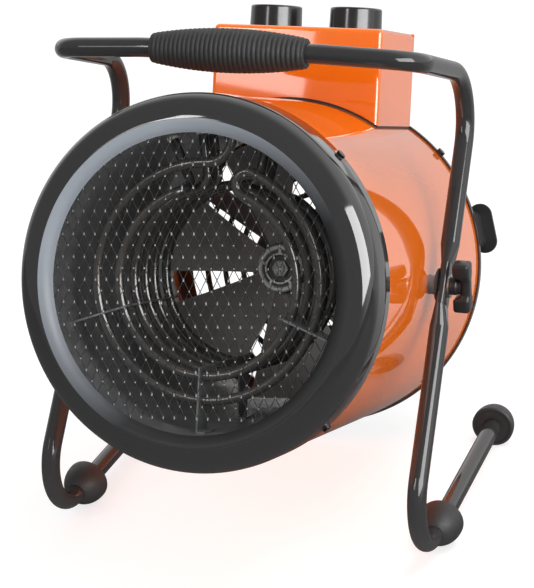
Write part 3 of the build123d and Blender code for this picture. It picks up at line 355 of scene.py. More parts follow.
@dataclass(frozen=True)
class PlainMetal(Coating):
    """Bare metal with drawn or turned marks."""

    stretch: Triple = (1.0, 1.0, 1.0)
    marks: float = 0.00002
    metal: float = 1.0
    mark_scale: float = 700.0
    mark_strength: float = 0.5
    mark_shares: Pair = (0.8, 1.25)
    cloud_scale: float = 40.0
    cloud_share: float = 0.8

    def lay(self, shader: Shader) -> None:
        """Set the shader.

        Args:
            shader: The shader.
        """
        lines = shader.noise(self.mark_scale, rough=FINE_ROUGH, stretch=self.stretch)
        stops = [(NOISE_LOW, darker(self.colour, self.cloud_share)), (NOISE_HIGH, self.colour)]
        smoothest, roughest = (self.roughness * share for share in self.mark_shares)
        shader.shade(
            Base_Color=shader.ramp(shader.noise(self.cloud_scale), stops),
            Roughness=shader.span(lines, smoothest, roughest),
            Metallic=self.metal,
            Normal=shader.bump(lines, self.marks, self.mark_strength),
        )


@dataclass(frozen=True)
class Galvanised(Coating):
    """Zinc coated sheet with its spangle."""

    spangle: float = 160.0
    spangle_span: Pair = (0.2, 0.8)
    dark_share: float = 0.72
    rough_shares: Pair = (0.8, 1.3)
    metal: float = 0.35
    grain: float = 0.00001
    grain_scale: float = 900.0
    grain_strength: float = 0.5

    def lay(self, shader: Shader) -> None:
        """Set the shader.

        Args:
            shader: The shader.
        """
        cells = shader.node("ShaderNodeTexVoronoi", Vector=shader.place, Scale=self.spangle).outputs["Color"]
        grey = shader.node("ShaderNodeRGBToBW", Color=cells).outputs["Val"]
        start, end = self.spangle_span
        smoothest, roughest = (self.roughness * share for share in self.rough_shares)
        stops = [(start, darker(self.colour, self.dark_share)), (end, self.colour)]
        shader.shade(
            Base_Color=shader.ramp(grey, stops),
            Roughness=shader.span(grey, smoothest, roughest, start, end),
            Metallic=self.metal,
            Normal=shader.bump(shader.noise(self.grain_scale), self.grain, self.grain_strength),
        )


@dataclass(frozen=True)
class HeatedSteel(Coating):
    """Stainless sheath darkened by heat, with dull, brownish and pale bands."""

    dull_share: float = 0.6
    brown: Triple = (1.10, 1.02, 0.94)
    pale_share: float = 1.3
    bands: tuple[float, float, float, float] = (0.25, 0.45, 0.6, 0.75)
    band_scale: float = 28.0
    band_detail: float = 5.0
    scuff_scale: float = 260.0
    scuff_shares: Pair = (0.8, 1.3)
    metal: float = 0.55
    index: float = 1.8
    grain: float = 0.000004
    grain_scale: float = 900.0

    def lay(self, shader: Shader) -> None:
        """Set the shader.

        Args:
            shader: The shader.
        """
        browned = tuple(part * share for part, share in zip(self.colour, self.brown))
        dull, pale = (darker(self.colour, share) for share in (self.dull_share, self.pale_share))
        stops = list(zip(self.bands, (dull, self.colour, browned, pale)))
        shader.shade(
            Base_Color=shader.ramp(shader.noise(self.band_scale, self.band_detail, FINE_ROUGH), stops),
            Roughness=shader.scuffed(self.scuff_scale, self.roughness, self.scuff_shares),
            Metallic=self.metal,
            IOR=self.index,
            Normal=shader.bump(shader.noise(self.grain_scale), self.grain),
        )


@dataclass(frozen=True)
class SheenPaintedLip(Coating):
    """Satin lip with a painted sheen: its colour is paler on the upper left than on the right, a painted
    highlight.
    """

    dark: Colour
    way: Triple = (-0.72, 0.22, 0.66)
    middle: Triple = (0.0, -0.171, 0.271)
    fade: Pair = (-0.045, 0.105)
    index: float = 1.4
    scuff_scale: float = 160.0
    scuff_shares: Pair = (0.85, 1.15)

    def lay(self, shader: Shader) -> None:
        """Set the shader.

        Args:
            shader: The shader.
        """
        # Painted sheen: the colour runs from dark to pale towards the upper left, where it stands in for a
        # highlight.
        from_middle = shader.vector_math("SUBTRACT", shader.place, self.middle).outputs["Vector"]
        along = shader.vector_math("DOT_PRODUCT", from_middle, self.way).outputs["Value"]
        share = shader.span(along, 0.0, 1.0, *self.fade)
        shader.shade(
            Base_Color=shader.ramp(share, [(0.0, self.dark), (1.0, self.colour)]),
            Roughness=shader.scuffed(self.scuff_scale, self.roughness, self.scuff_shares),
            IOR=self.index,
        )


class Finish(Enum):
    """The record's material slots and the finishes that share them, each with how it is made."""

    ORANGE_PAINT = GlossPaint("orange_paint", (0.88, 0.170, 0.008), 0.04)
    BLACK_PAINT = GlossPaint("black_paint", (0.024, 0.024, 0.025), 0.05, body_index=1.75, coat=0.0)
    TUBE_PAINT = GlossPaint("tube_paint", (0.030, 0.030, 0.031), 0.07, body_index=1.5, coat=0.0)
    GRILLE_STEEL = GlossPaint("grille_steel", (0.015, 0.015, 0.016), 0.45, coat=0.0)
    BOND_STEEL = GlossPaint("bond_steel", (0.050, 0.052, 0.055), 0.16, 0.000002, body_index=1.6, coat=0.0)
    # The lip's finish paints a sheen: its colour is paler on the upper left, a painted highlight.
    LIP_STEEL = SheenPaintedLip("lip_steel", (0.27, 0.295, 0.33), 0.45, (0.020, 0.020, 0.021))
    BLACK_RUBBER = Moulded("black_rubber", (0.022, 0.022, 0.023), 0.52, 0.00004)
    GRIP_FOAM = Moulded("grip_foam", (0.022, 0.022, 0.023), 0.62, 0.00010, grain_scale=1100.0)
    BLACK_PLASTIC = Moulded("black_plastic", (0.016, 0.016, 0.017), 0.38, 0.00004)
    KNOB_PLASTIC = Moulded("knob_plastic", (0.014, 0.014, 0.015), 0.22, 0.00001, grain_scale=900.0, coat=0.6)
    MOTOR_PAINT = Moulded("motor_paint", (0.09, 0.09, 0.092), 0.40, 0.00001)
    PALE_PLASTIC = Moulded("pale_plastic", (0.72, 0.70, 0.64), 0.45, 0.00003)
    WASHER_FIBRE = Moulded("washer_fibre", (0.030, 0.024, 0.022), 0.7, 0.00005)
    ELEMENT_STEEL = HeatedSteel("element_steel", (0.10, 0.097, 0.094), 0.18)
    GALVANISED_STEEL = Galvanised("galvanised_steel", (0.22, 0.222, 0.226), 0.42)
    BRIGHT_STEEL = PlainMetal("bright_steel", (0.60, 0.60, 0.58), 0.30)
    BLACK_SCREWS = PlainMetal("black_screws", (0.06, 0.06, 0.065), 0.30)
    FAN_ALUMINIUM = PlainMetal("fan_aluminium", (0.42, 0.40, 0.385), 0.42, (1.0, 1.0, 6.0), 0.00001, 0.3)
    HUB_FACE = PlainMetal("hub_face", (0.85, 0.84, 0.82), 0.35, marks=0.00001, metal=0.3)
    HUB_CUP = PlainMetal("hub_cup", (0.14, 0.135, 0.13), 0.40, marks=0.00001, metal=0.3)

    @property
    def slot(self) -> str:
        """The record's slot, which some finishes share.

        Returns:
            The name of the slot.
        """
        if self in (Finish.TUBE_PAINT, Finish.GRILLE_STEEL, Finish.BOND_STEEL, Finish.LIP_STEEL):
            return "black_paint"
        if self in (Finish.HUB_FACE, Finish.HUB_CUP):
            return "fan_aluminium"
        return self.name.lower()

    def material(self) -> bpy.types.Material:
        """The material, made on first use."""
        return bpy.data.materials.get(f"{self.value.title}_finish") or self.value.make()


def dress(piece: Piece, finish: Finish) -> None:
    """Give a piece or node one finish all over.

    Args:
        piece: The piece or node.
        finish: Its finish.
    """
    if piece.data.materials:
        for index in range(len(piece.data.materials)):
            piece.data.materials[index] = finish.material()
    else:
        piece.data.materials.append(finish.material())


def dress_nodes() -> None:
    """Dress every node of the frame in the finish of its slot, and the stand's tube in its own paint."""
    for part in frame["record"]["subparts"]:
        dress(frame["nodes"][part["node"]], Finish[part["material_slot"].upper()])
    dress(frame["nodes"]["frame_tube"], Finish.TUBE_PAINT)


# ---------------------------------------------------------------- bench
def alone(piece: Piece) -> None:
    """Select one object and nothing else.

    Args:
        piece: The object.
    """
    bpy.ops.object.select_all(action="DESELECT")
    piece.select_set(True)
    bpy.context.view_layer.objects.active = piece


@contextmanager
def editing(piece: Piece) -> Iterator[None]:
    """Work on a piece in edit mode, with all of it selected.

    Args:
        piece: The piece.

    Yields:
        Nothing, while the piece is in edit mode.
    """
    alone(piece)
    bpy.ops.object.mode_set(mode="EDIT")
    bpy.ops.mesh.select_all(action="SELECT")
    yield
    bpy.ops.object.mode_set(mode="OBJECT")


def apply_modifier(piece: Piece, name: str) -> None:
    """Apply one modifier of a piece."""
    alone(piece)
    bpy.ops.object.modifier_apply(modifier=name)


def extrude_up(by: float) -> None:
    """Extrude what is selected along Z."""
    bpy.ops.mesh.extrude_region_move(TRANSFORM_OT_translate={"value": (0.0, 0.0, by)})


def delete_points(piece: Piece, chosen: list[bool]) -> None:
    """Delete chosen points of a piece.

    Args:
        piece: The piece, in object mode.
        chosen: True for each point that goes.
    """
    with editing(piece):
        bpy.ops.mesh.select_mode(type="VERT")
        bpy.ops.mesh.select_all(action="DESELECT")
    for point, goes in zip(piece.data.vertices, chosen):
        point.select = goes
    bpy.ops.object.mode_set(mode="EDIT")
    bpy.ops.mesh.delete(type="VERT")
    bpy.ops.object.mode_set(mode="OBJECT")


def settle(piece: Piece, place: Matrix) -> Piece:
    """Put a piece at its place and take the place into its mesh.

    Args:
        piece: The piece to place.
        place: Where it goes, from where it was made.

    Returns:
        The same piece, at the origin.
    """
    bpy.context.view_layer.update()
    piece.matrix_world = place @ piece.matrix_world
    alone(piece)
    bpy.ops.object.transform_apply(location=True, rotation=True, scale=True)
    return piece


def copied(piece: Piece, place: Matrix) -> Piece:
    """A copy of a piece with its own mesh, at another place.

    Args:
        piece: The piece to copy.
        place: Where the copy goes, from where the piece is.

    Returns:
        The copy, at the origin.
    """
    twin = piece.copy()
    twin.data = piece.data.copy()
    bpy.context.scene.collection.objects.link(twin)
    return settle(twin, place)


def joined(name: str, pieces: list[Piece]) -> Piece:
    """Join pieces into one.

    Args:
        name: Name of the joined piece.
        pieces: The pieces, the first of which stays.

    Returns:
        The joined piece.
    """
    alone(pieces[0])
    for piece in pieces[1:]:
        piece.select_set(True)
    bpy.ops.object.join()
    pieces[0].name = name
    return pieces[0]


def turned(
    name: str, profile: Profile, sides: int, closed: bool = True, capped: bool = False
) -> Piece:
    """A shape turned about Z: a circle, extruded and resized from one profile point to the next.

    Args:
        name: Name of the piece.
        profile: Radius and height of each point.
        sides: Corners of the circle.
        closed: True where the profile returns to its start.
        capped: True where both ends of an open profile are filled.

    Returns:
        The piece, with its normals outwards.
    """
    radius, height = profile[0]
    bpy.ops.mesh.primitive_circle_add(vertices=sides, radius=radius, location=(0.0, 0.0, height))
    piece = bpy.context.object
    piece.name = name
    with editing(piece):
        for next_radius, next_height in profile[1:] + (profile[:1] if closed else []):
            extrude_up(next_height - height)
            share = next_radius / radius
            bpy.ops.transform.resize(value=(share, share, 1.0), center_override=(0.0, 0.0, next_height))
            radius, height = next_radius, next_height
        bpy.ops.mesh.select_all(action="SELECT")
        bpy.ops.mesh.remove_doubles(threshold=0.000002)
        if capped:
            bpy.ops.mesh.fill_holes(sides=0)
        bpy.ops.mesh.normals_make_consistent(inside=False)
    return piece


def block(name: str, size: Triple, round_by: float, steps: int) -> Piece:
    """A block with rounded edges about the origin.

    Args:
        name: Name of the piece.
        size: Its length along each axis.
        round_by: Radius of the edges.
        steps: Segments of each rounding.

    Returns:
        The piece.
    """
    bpy.ops.mesh.primitive_cube_add(size=1.0)
    piece = bpy.context.object
    piece.name = name
    with editing(piece):
        bpy.ops.transform.resize(value=size)
        bpy.ops.mesh.bevel(offset=round_by, segments=steps, affect="EDGES")
    return piece


def finished(
    piece: Piece,
    body: str,
    finish: Finish,
    *nodes: str,
    angle: float = 35.0,
    dressed: bool = False,
) -> None:
    """Shade and dress a piece, put it on its body and report it.

    Args:
        piece: The piece.
        body: Name of the body that it rides on.
        finish: Its finish, or the one whose slot it takes.
        *nodes: Nodes that it stands for.
        angle: Sharpest edge in degrees that is shaded smooth.
        dressed: True where its parts already have their finishes.
    """
    alone(piece)
    bpy.ops.object.shade_smooth_by_angle(angle=math.radians(angle))
    if not dressed:
        dress(piece, finish)
    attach(piece, body)
    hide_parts(*nodes)
    LOG.info("%s: %d faces, on %s", piece.name, len(piece.data.polygons), body)


def box_of(node: str) -> tuple[Triple, Triple, Triple]:
    """Place of a node at rest.

    Args:
        node: The node.

    Returns:
        Its lowest corner, its highest corner and its middle.
    """
    low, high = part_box(node)
    return low, high, tuple((a + b) / 2 for a, b in zip(low, high))


def stepped(point: Pair, way: float, by: float) -> Pair:
    """The point that lies a distance from another, in a direction in radians."""
    return (point[0] + by * math.cos(way), point[1] + by * math.sin(way))


def arc(start: Pair, end: Pair, way: float, steps: int) -> tuple[Profile, float]:
    """Points of an arc that leaves its start in a given direction.

    Args:
        start: First point, which isn't repeated.
        end: Last point.
        way: Direction at the start, in radians.
        steps: Points of the arc.

    Returns:
        The points, and the direction at the end.
    """
    chord = math.atan2(end[1] - start[1], end[0] - start[0])
    half = (chord - way + math.pi) % math.tau - math.pi
    radius = math.dist(start, end) / (2 * math.sin(half))
    points: Profile = []
    for step in range(1, steps + 1):
        turn = way + 2 * half * step / steps
        across = radius * (math.sin(turn) - math.sin(way))
        along = radius * (math.cos(turn) - math.cos(way))
        points.append((start[0] + across, start[1] - along))
    return points, way + 2 * half


# ---------------------------------------------------------------- front ring
@dataclass
class FrontRing:
    """Pressed ring with a hemmed inner lip. Heights run from the pivots to the front."""

    radius: float = 0.150
    back: float = 0.127
    skirt_corner: float = 0.0006
    shoulder: float = 0.156
    brow: Pair = (0.140, 0.1704)
    crest: Pair = (0.131, 0.173)
    lip: Pair = (0.1192, 0.1663)
    arc_steps: tuple[int, int, int] = (9, 5, 8)
    wall: float = 0.0013
    hem: float = 0.0011
    hem_turns: tuple[float, ...] = (-70.0, -35.0, 0.0, 35.0, 70.0)
    lip_edge: float = 0.1292
    lip_behind: float = 0.0005
    sides: int = 168

    def profile(self) -> Profile:
        """Outline from the skirt over the crest to the lip's hem and back inside.

        Returns:
            The closed outline.
        """
        corner = (self.radius, self.shoulder)
        outer: Profile = [
            (self.radius - self.skirt_corner, self.back),
            (self.radius, self.back + self.skirt_corner),
            (self.radius, (self.back + self.shoulder) / 2),
            corner,
        ]
        way = math.pi / 2
        stations = (corner, self.brow, self.crest, self.lip)
        for start, end, steps in zip(stations, stations[1:], self.arc_steps):
            points, way = arc(start, end, way, steps)
            outer += points
        ways = [math.atan2(b[1] - a[1], b[0] - a[0]) for a, b in zip(outer, outer[1:])]
        ways.append(ways[-1])
        inner = [stepped(point, turn + math.pi / 2, self.wall) for point, turn in zip(outer, ways)]
        middle = ((self.lip[0] + inner[-1][0]) / 2, (self.lip[1] + inner[-1][1]) / 2)
        hem = [stepped(middle, way + math.radians(turn), self.hem) for turn in self.hem_turns]
        return outer[:-1] + hem + inner[::-1][1:]

    def build(self) -> None:
        """Turn, place and dress the ring, with its lip in its own finish, which paints a sheen on its upper
        left.
        """
        ring = turned("pressed_front_ring", self.profile(), self.sides)
        settle(ring, ON_DRUM @ FACE_FRONT)
        finished(ring, "drum", Finish.BLACK_PAINT, "front_ring", angle=50.0)
        # The lip takes the finish with the painted sheen, paler on the upper left.
        ring.data.materials.append(Finish.LIP_STEEL.material())
        to_drum = ON_DRUM.inverted()
        for face in ring.data.polygons:
            place = to_drum @ face.center
            if math.hypot(place.x, place.z) < self.lip_edge and place.y < -self.lip[1] + self.lip_behind:
                face.material_index = 1


# ---------------------------------------------------------------- front grille
@dataclass
class Grille:
    """Expanded metal: leaning strands that meet in broad bonds, clamped behind the ring's lip."""

    wide: float = 0.009387
    tall: float = 0.018114
    middle: Pair = (0.001641, 0.003261)
    turn: float = math.radians(3.6)
    front: float = 0.1637
    reach: float = 0.1222
    strand: Pair = (0.00058, 0.00042)
    cuts: Pair = (-0.22, 0.22)
    lean: float = math.radians(34.0)
    bond: Triple = (0.0013, 0.0030, 0.0007)
    bond_round: float = 0.00020
    bond_tilt: float = math.radians(11.0)
    second_share: float = 0.55
    rim_in: float = 0.1215
    rim_out: float = 0.1250
    rim_half: float = 0.0004
    rim_sides: int = 120

    def strand_piece(self, side: float) -> Piece:
        """One strand from a crossing to the next one up, to the right or left.

        Args:
            side: 1 for right, -1 for left.

        Returns:
            The strand, cut across twice, on the plane z = 0 with its length up along Y.
        """
        length = math.hypot(self.wide, self.tall) / 2
        bpy.ops.mesh.primitive_cube_add(size=1.0)
        strand = bpy.context.object
        with editing(strand):
            bpy.ops.transform.resize(value=(self.strand[0], length, self.strand[1]))
            for place in self.cuts:
                bpy.ops.mesh.select_all(action="SELECT")
                bpy.ops.mesh.bisect(plane_co=(0.0, place * length, 0.0), plane_no=(0.0, 1.0, 0.0))
        slant = Matrix.Rotation(-side * math.atan2(self.wide, self.tall), 4, "Z")
        leaning = slant @ Matrix.Rotation(side * self.lean, 4, "Y")
        return settle(strand, Matrix.Translation((side * self.wide / 4, self.tall / 4, 0.0)) @ leaning)

    def crossing(self, share: float) -> Piece:
        """One bond with the two strands above it.

        Args:
            share: Breadth of the bond, of the full one.

        Returns:
            The crossing, about the origin.
        """
        bond = block("bond", (self.bond[0], self.bond[1] * share, self.bond[2]), self.bond_round, 1)
        settle(bond, Matrix.Rotation(-self.bond_tilt, 4, "X"))
        strands = [self.strand_piece(1.0), self.strand_piece(-1.0)]
        for strand in strands:
            dress(strand, Finish.GRILLE_STEEL)
        dress(bond, Finish.BOND_STEEL)
        return joined("crossing", [*strands, bond])

    def sheet(self, offset: Pair, share: float) -> Piece:
        """Crossings in rows and columns, cut to the round of the mouth.

        Args:
            offset: Place of the grid's middle crossing.
            share: Breadth of its bonds, of the full one.

        Returns:
            The sheet of crossings.
        """
        piece = self.crossing(share)
        points_each = len(piece.data.vertices)
        columns, rows = (2 * int(self.reach / step) + 1 for step in (self.wide, self.tall))
        start = (offset[0] - self.wide * (columns // 2), offset[1] - self.tall * (rows // 2), 0.0)
        settle(piece, Matrix.Translation(start))
        for count, step in ((columns, (self.wide, 0.0, 0.0)), (rows, (0.0, self.tall, 0.0))):
            row = piece.modifiers.new("row", "ARRAY")
            row.count = count
            row.use_relative_offset = False
            row.use_constant_offset = True
            row.constant_offset_displace = step
            apply_modifier(piece, "row")
        points = piece.data.vertices
        outside: list[bool] = []
        for first in range(0, len(points), points_each):
            outside += [math.hypot(points[first].co.x, points[first].co.y) > self.reach] * points_each
        delete_points(piece, outside)
        return piece

    def build(self) -> None:
        """Build both grids and the clamped rim, and put them behind the lip."""
        rim_profile: Profile = [
            (self.rim_in, -self.rim_half),
            (self.rim_in, self.rim_half),
            (self.rim_out, self.rim_half),
            (self.rim_out, -self.rim_half),
        ]
        rim = turned("rim", rim_profile, self.rim_sides)
        dress(rim, Finish.GRILLE_STEEL)
        between = (self.middle[0] + self.wide / 2, self.middle[1] + self.tall / 2)
        sheets = [self.sheet(self.middle, 1.0), self.sheet(between, self.second_share)]
        grille = joined("expanded_metal_grille", [*sheets, rim])
        place = Matrix.Translation((0.0, 0.0, self.front)) @ Matrix.Rotation(self.turn, 4, "Z")
        settle(grille, ON_DRUM @ FACE_FRONT @ place)
        finished(grille, "drum", Finish.GRILLE_STEEL, "front_grille", dressed=True)


# ---------------------------------------------------------------- fan
@dataclass
class PressedFan:
    """Six cambered, twisted blades on a cup-shaped hub with a ribbed face.

    A blade's root and tip are a radius, a chord and a pitch in degrees. Points of the hub's nose are
    distances in from its side and back from its front.
    """

    blades: int = 6
    first_turn: float = math.radians(12.0)
    root: Triple = (0.0190, 0.031, 42.0)
    tip: Triple = (0.1210, 0.109, 22.0)
    steps: int = 10
    camber_radius: float = 1.434
    camber_sides: int = 72
    camber_slack: float = math.radians(0.5)
    metal: float = 0.0012
    reach: float = 0.1146
    trim_half: float = 0.04
    trim_sides: int = 96
    middle: float = 0.060
    hub: float = 0.0222
    front: float = 0.047
    back: float = 0.073
    bore: float = 0.0043
    nose: tuple[Pair, ...] = ((0.0, 0.0050), (0.0005, 0.0025), (0.0018, 0.0008), (0.0050, 0.0))
    cup: float = 0.0122
    cup_depth: float = 0.0040
    proud: float = 0.0026
    sunk: float = 0.0003
    ring_in: float = 0.0166
    ring_out: float = 0.0208
    ring_bevels: Pair = (0.0008, 0.0012)
    ring_shares: Pair = (0.7, 0.5)
    eye_wall: float = 0.0014
    ribs: int = 5
    first_rib: float = 0.3
    rib_breadth: float = 0.0026
    rib_share: float = 0.8
    rib_round: float = 0.0004
    hub_sides: int = 72
    eye_sides: int = 48

    def camber_line(self) -> Piece:
        """The blade's cambered line at its root: the part of a circle that spans the chord.

        Returns:
            The line, with its middle on the Z axis.
        """
        height, chord, _ = self.root
        bend = chord * self.camber_radius
        about = (0.0, 0.0, height)
        bpy.ops.mesh.primitive_circle_add(vertices=self.camber_sides, radius=bend, location=about)
        line = bpy.context.object
        half = math.asin(0.5 / self.camber_radius) + self.camber_slack
        delete_points(line, [abs(math.atan2(point.co.x, point.co.y)) > half for point in line.data.vertices])
        with editing(line):
            bpy.ops.transform.translate(value=(0.0, -bend, 0.0))
        return line

    def blade(self) -> Piece:
        """One blade: its camber line, extruded outwards, widened and untwisted by steps.

        Returns:
            The blade, upright along Z and cut to the fan's round.
        """
        blade = self.camber_line()
        height, chord, pitch = self.root
        rise = (self.tip[0] - height) / self.steps
        less = math.radians(self.tip[2] - self.root[2]) / self.steps
        with editing(blade):
            about = (0.0, 0.0, height)
            bpy.ops.transform.rotate(value=math.radians(pitch), orient_axis="Z", center_override=about)
            for step in range(1, self.steps + 1):
                extrude_up(rise)
                height += rise
                about = (0.0, 0.0, height)
                wider = self.root[1] + (self.tip[1] - self.root[1]) * step / self.steps
                share = wider / chord
                chord = wider
                bpy.ops.transform.resize(value=(share, share, 1.0), center_override=about)
                bpy.ops.transform.rotate(value=less, orient_axis="Z", center_override=about)
        thick = blade.modifiers.new("thick", "SOLIDIFY")
        thick.thickness = self.metal
        thick.offset = 0.0
        disc_profile: Profile = [
            (self.bore, -self.trim_half),
            (self.reach, -self.trim_half),
            (self.reach, self.trim_half),
            (self.bore, self.trim_half),
        ]
        disc = settle(turned("disc", disc_profile, self.trim_sides), FACE_FRONT)
        trim = blade.modifiers.new("trim", "BOOLEAN")
        trim.operation = "INTERSECT"
        trim.object = disc
        apply_modifier(blade, "thick")
        apply_modifier(blade, "trim")
        bpy.data.objects.remove(disc)
        return settle(blade, Matrix.Identity(4))

    def hub_cup(self) -> Piece:
        """The cup of the hub.

        Returns:
            The cup, with its front up along Z.
        """
        front = -self.front
        outline: Profile = [(self.bore, -self.back), (self.hub, -self.back)]
        outline += [(self.hub - inwards, front - down) for inwards, down in self.nose]
        floor = front - self.cup_depth
        outline += [(self.cup, front), (self.cup, floor), (self.bore, floor)]
        return turned("cup", outline, self.hub_sides)

    def hub_face(self) -> list[Piece]:
        """The ring, eye and ribs on the cup's front.

        Returns:
            The pieces, with the front up along Z.
        """
        low, high = -self.front - self.sunk, -self.front + self.proud
        rise = high - low
        inner_bevel, outer_bevel = self.ring_bevels
        inner_share, outer_share = self.ring_shares
        ring_profile: Profile = [
            (self.ring_in, low),
            (self.ring_in, low + rise * inner_share),
            (self.ring_in + inner_bevel, high),
            (self.ring_out - outer_bevel, high),
            (self.ring_out, low + rise * outer_share),
            (self.ring_out, low),
        ]
        eye_out = self.cup + self.eye_wall
        eye_profile: Profile = [(self.cup, low), (self.cup, high), (eye_out, high), (eye_out, low)]
        parts = [turned("ring", ring_profile, self.hub_sides), turned("eye", eye_profile, self.eye_sides)]
        rib_height = rise * self.rib_share
        rib = block("rib", (self.ring_in - self.cup, self.rib_breadth, rib_height), self.rib_round, 2)
        middle = Matrix.Translation(((self.ring_in + self.cup + inner_bevel) / 2, 0.0, low + rib_height / 2))
        for number in range(self.ribs):
            turn = Matrix.Rotation(math.tau * (number + self.first_rib) / self.ribs, 4, "Z")
            parts.append(copied(rib, turn @ middle))
        bpy.data.objects.remove(rib)
        return parts

    def build(self) -> None:
        """Build the fan, put it on its shaft and dress it."""
        blade = settle(self.blade(), Matrix.Translation((0.0, self.middle, 0.0)))
        turns = [-self.first_turn + math.tau * number / self.blades for number in range(self.blades)]
        parts = [copied(blade, Matrix.Rotation(turn, 4, "Y")) for turn in turns]
        bpy.data.objects.remove(blade)
        for part in parts:
            dress(part, Finish.FAN_ALUMINIUM)
        cup = settle(self.hub_cup(), FACE_FRONT)
        dress(cup, Finish.HUB_CUP)
        parts.append(cup)
        for part in self.hub_face():
            dress(part, Finish.HUB_FACE)
            parts.append(settle(part, FACE_FRONT))
        fan = joined("pressed_fan", parts)
        settle(fan, ON_DRUM)
        finished(fan, "fan", Finish.FAN_ALUMINIUM, "impeller", dressed=True)


# ---------------------------------------------------------------- clamps, feet and grip
@dataclass
class ClampKnob:
    """T-shaped clamp knob: a bar with two lobes on a flared stem."""

    bar: Triple = (0.0142, 0.0150, 0.0428)
    waist: Pair = (0.0078, 0.0105)
    waist_end: float = 0.0058
    lobe_start: float = 0.0114
    steps: int = 6
    round_by: float = 0.0026
    round_steps: int = 4
    sharp: float = math.radians(50.0)
    foot: float = 0.0074
    neck: float = 0.0066
    bore: float = 0.0046
    flare: Pair = (0.5, 0.62)
    stem_sides: int = 40

    def section(self, height: float) -> Pair:
        """The bar's thickness and breadth.

        Args:
            height: Height over the bar's middle.

        Returns:
            Its thickness along X and its breadth along Y.
        """
        share = (abs(height) - self.waist_end) / (self.lobe_start - self.waist_end)
        share = min(max(share, 0.0), 1.0)
        share *= share * (3.0 - 2.0 * share)
        thick, broad = (low + (high - low) * share for low, high in zip(self.waist, self.bar))
        return thick, broad

    def lobed_bar(self) -> Piece:
        """The bar upright along Z, extruded from end to end and narrowed between its lobes.

        Returns:
            The bar, about the origin, with its straight side towards +X.
        """
        rise = (self.lobe_start - self.waist_end) / self.steps
        upper = [self.waist_end + rise * step for step in range(self.steps + 1)] + [self.bar[2] / 2]
        heights = [-height for height in reversed(upper)] + upper
        last = heights[0]
        thick, broad = self.bar[:2]
        bpy.ops.mesh.primitive_plane_add(size=1.0, location=(0.0, 0.0, last))
        bar = bpy.context.object
        with editing(bar):
            bpy.ops.transform.resize(value=(thick, broad, 1.0))
            bpy.ops.mesh.delete(type="ONLY_FACE")
            bpy.ops.mesh.select_all(action="SELECT")
            for height in heights[1:]:
                extrude_up(height - last)
                new_thick, new_broad = self.section(height)
                change = (new_thick / thick, new_broad / broad, 1.0)
                bpy.ops.transform.resize(value=change, center_override=(self.bar[0] / 2, 0.0, height))
                thick, broad, last = new_thick, new_broad, height
            bpy.ops.mesh.select_all(action="SELECT")
            bpy.ops.mesh.fill_holes(sides=0)
            bpy.ops.mesh.normals_make_consistent(inside=False)
        rounding = bar.modifiers.new("rounding", "BEVEL")
        rounding.width = self.round_by
        rounding.segments = self.round_steps
        rounding.limit_method = "ANGLE"
        rounding.angle_limit = self.sharp
        apply_modifier(bar, "rounding")
        return bar

    def build(self, side: str) -> None:
        """Build the knob of one side.

        Args:
            side: left or right.
        """
        node = f"clamp_knob_{side}"
        low, high, middle = box_of(node)
        out = 1.0 if side == "right" else -1.0
        tip, root = (high[0], low[0]) if side == "right" else (low[0], high[0])
        facing = Matrix.Rotation(0.0 if side == "right" else math.pi, 4, "Z")
        bar_place = Matrix.Translation((tip - out * self.bar[0] / 2, *middle[1:]))
        bar = settle(self.lobed_bar(), bar_place @ facing)
        length = abs(tip - root) - self.bar[0] / 2
        flare_start, flare_end = (length * share for share in self.flare)
        stem_profile: Profile = [
            (self.foot, 0.0),
            (self.foot, flare_start),
            (self.neck, flare_end),
            (self.neck, length),
            (self.bore, length),
            (self.bore, 0.0),
        ]
        outwards = Matrix.Rotation(out * math.radians(90.0), 4, "Y")
        stem = turned("stem", stem_profile, self.stem_sides)
        settle(stem, Matrix.Translation((root, *middle[1:])) @ outwards)
        knob = joined(f"t_knob_{side}", [bar, stem])
        finished(knob, f"clamp_{side}", Finish.BLACK_PLASTIC, node)


@dataclass
class RubberFoot:
    """Rubber foot on the bar: a long dome with a rimmed flat face towards the other foot."""

    bore: float = 0.00805
    face: float = 0.0080
    rim: float = 0.0030
    edge: float = 0.0010
    dish: float = 0.0009
    dish_shares: Pair = (0.80, 0.85)
    seat: float = 0.0060
    tip: float = 0.0004
    steps: int = 14
    sides: int = 72

    def profile(self, radius: float, length: float, cap: bool) -> Profile:
        """Outline from the bore over the flat face and the dome.

        Args:
            radius: Widest radius.
            length: Height of the dome's end over the foot's middle.
            cap: True where the dome is closed.

        Returns:
            The outline.
        """
        low = -self.face
        start = low + self.rim
        floor_edge, rim_edge = (radius * share for share in self.dish_shares)
        points: Profile = [(self.bore, self.seat)] if cap else []
        points += [
            (self.bore, low + self.dish),
            (floor_edge, low + self.dish),
            (rim_edge, low),
            (radius - self.edge, low),
            (radius, low + self.edge),
            (radius, start),
        ]
        end_radius = self.tip if cap else self.bore
        share = math.sqrt(1.0 - (end_radius / radius) ** 2)
        long = (length - start) / share
        last = math.asin(share)
        for step in range(1, self.steps + 1):
            turn = last * step / self.steps
            points.append((radius * math.cos(turn), start + long * math.sin(turn)))
        return points

    def build(self, node: str) -> None:
        """Build the foot that stands for a node.

        Args:
            node: The node, front or rear, left or right.
        """
        low, high, middle = box_of(node)
        cap = node.startswith("rear")
        profile = self.profile((high[2] - low[2]) / 2, (high[1] - low[1]) / 2, cap)
        foot = turned(f"rubber_{node}", profile, self.sides, closed=not cap, capped=cap)
        facing = Matrix.Rotation(math.radians(-90.0 if cap else 90.0), 4, "X")
        settle(foot, Matrix.Translation(middle) @ facing)
        finished(foot, "stand", Finish.BLACK_RUBBER, node, angle=40.0)


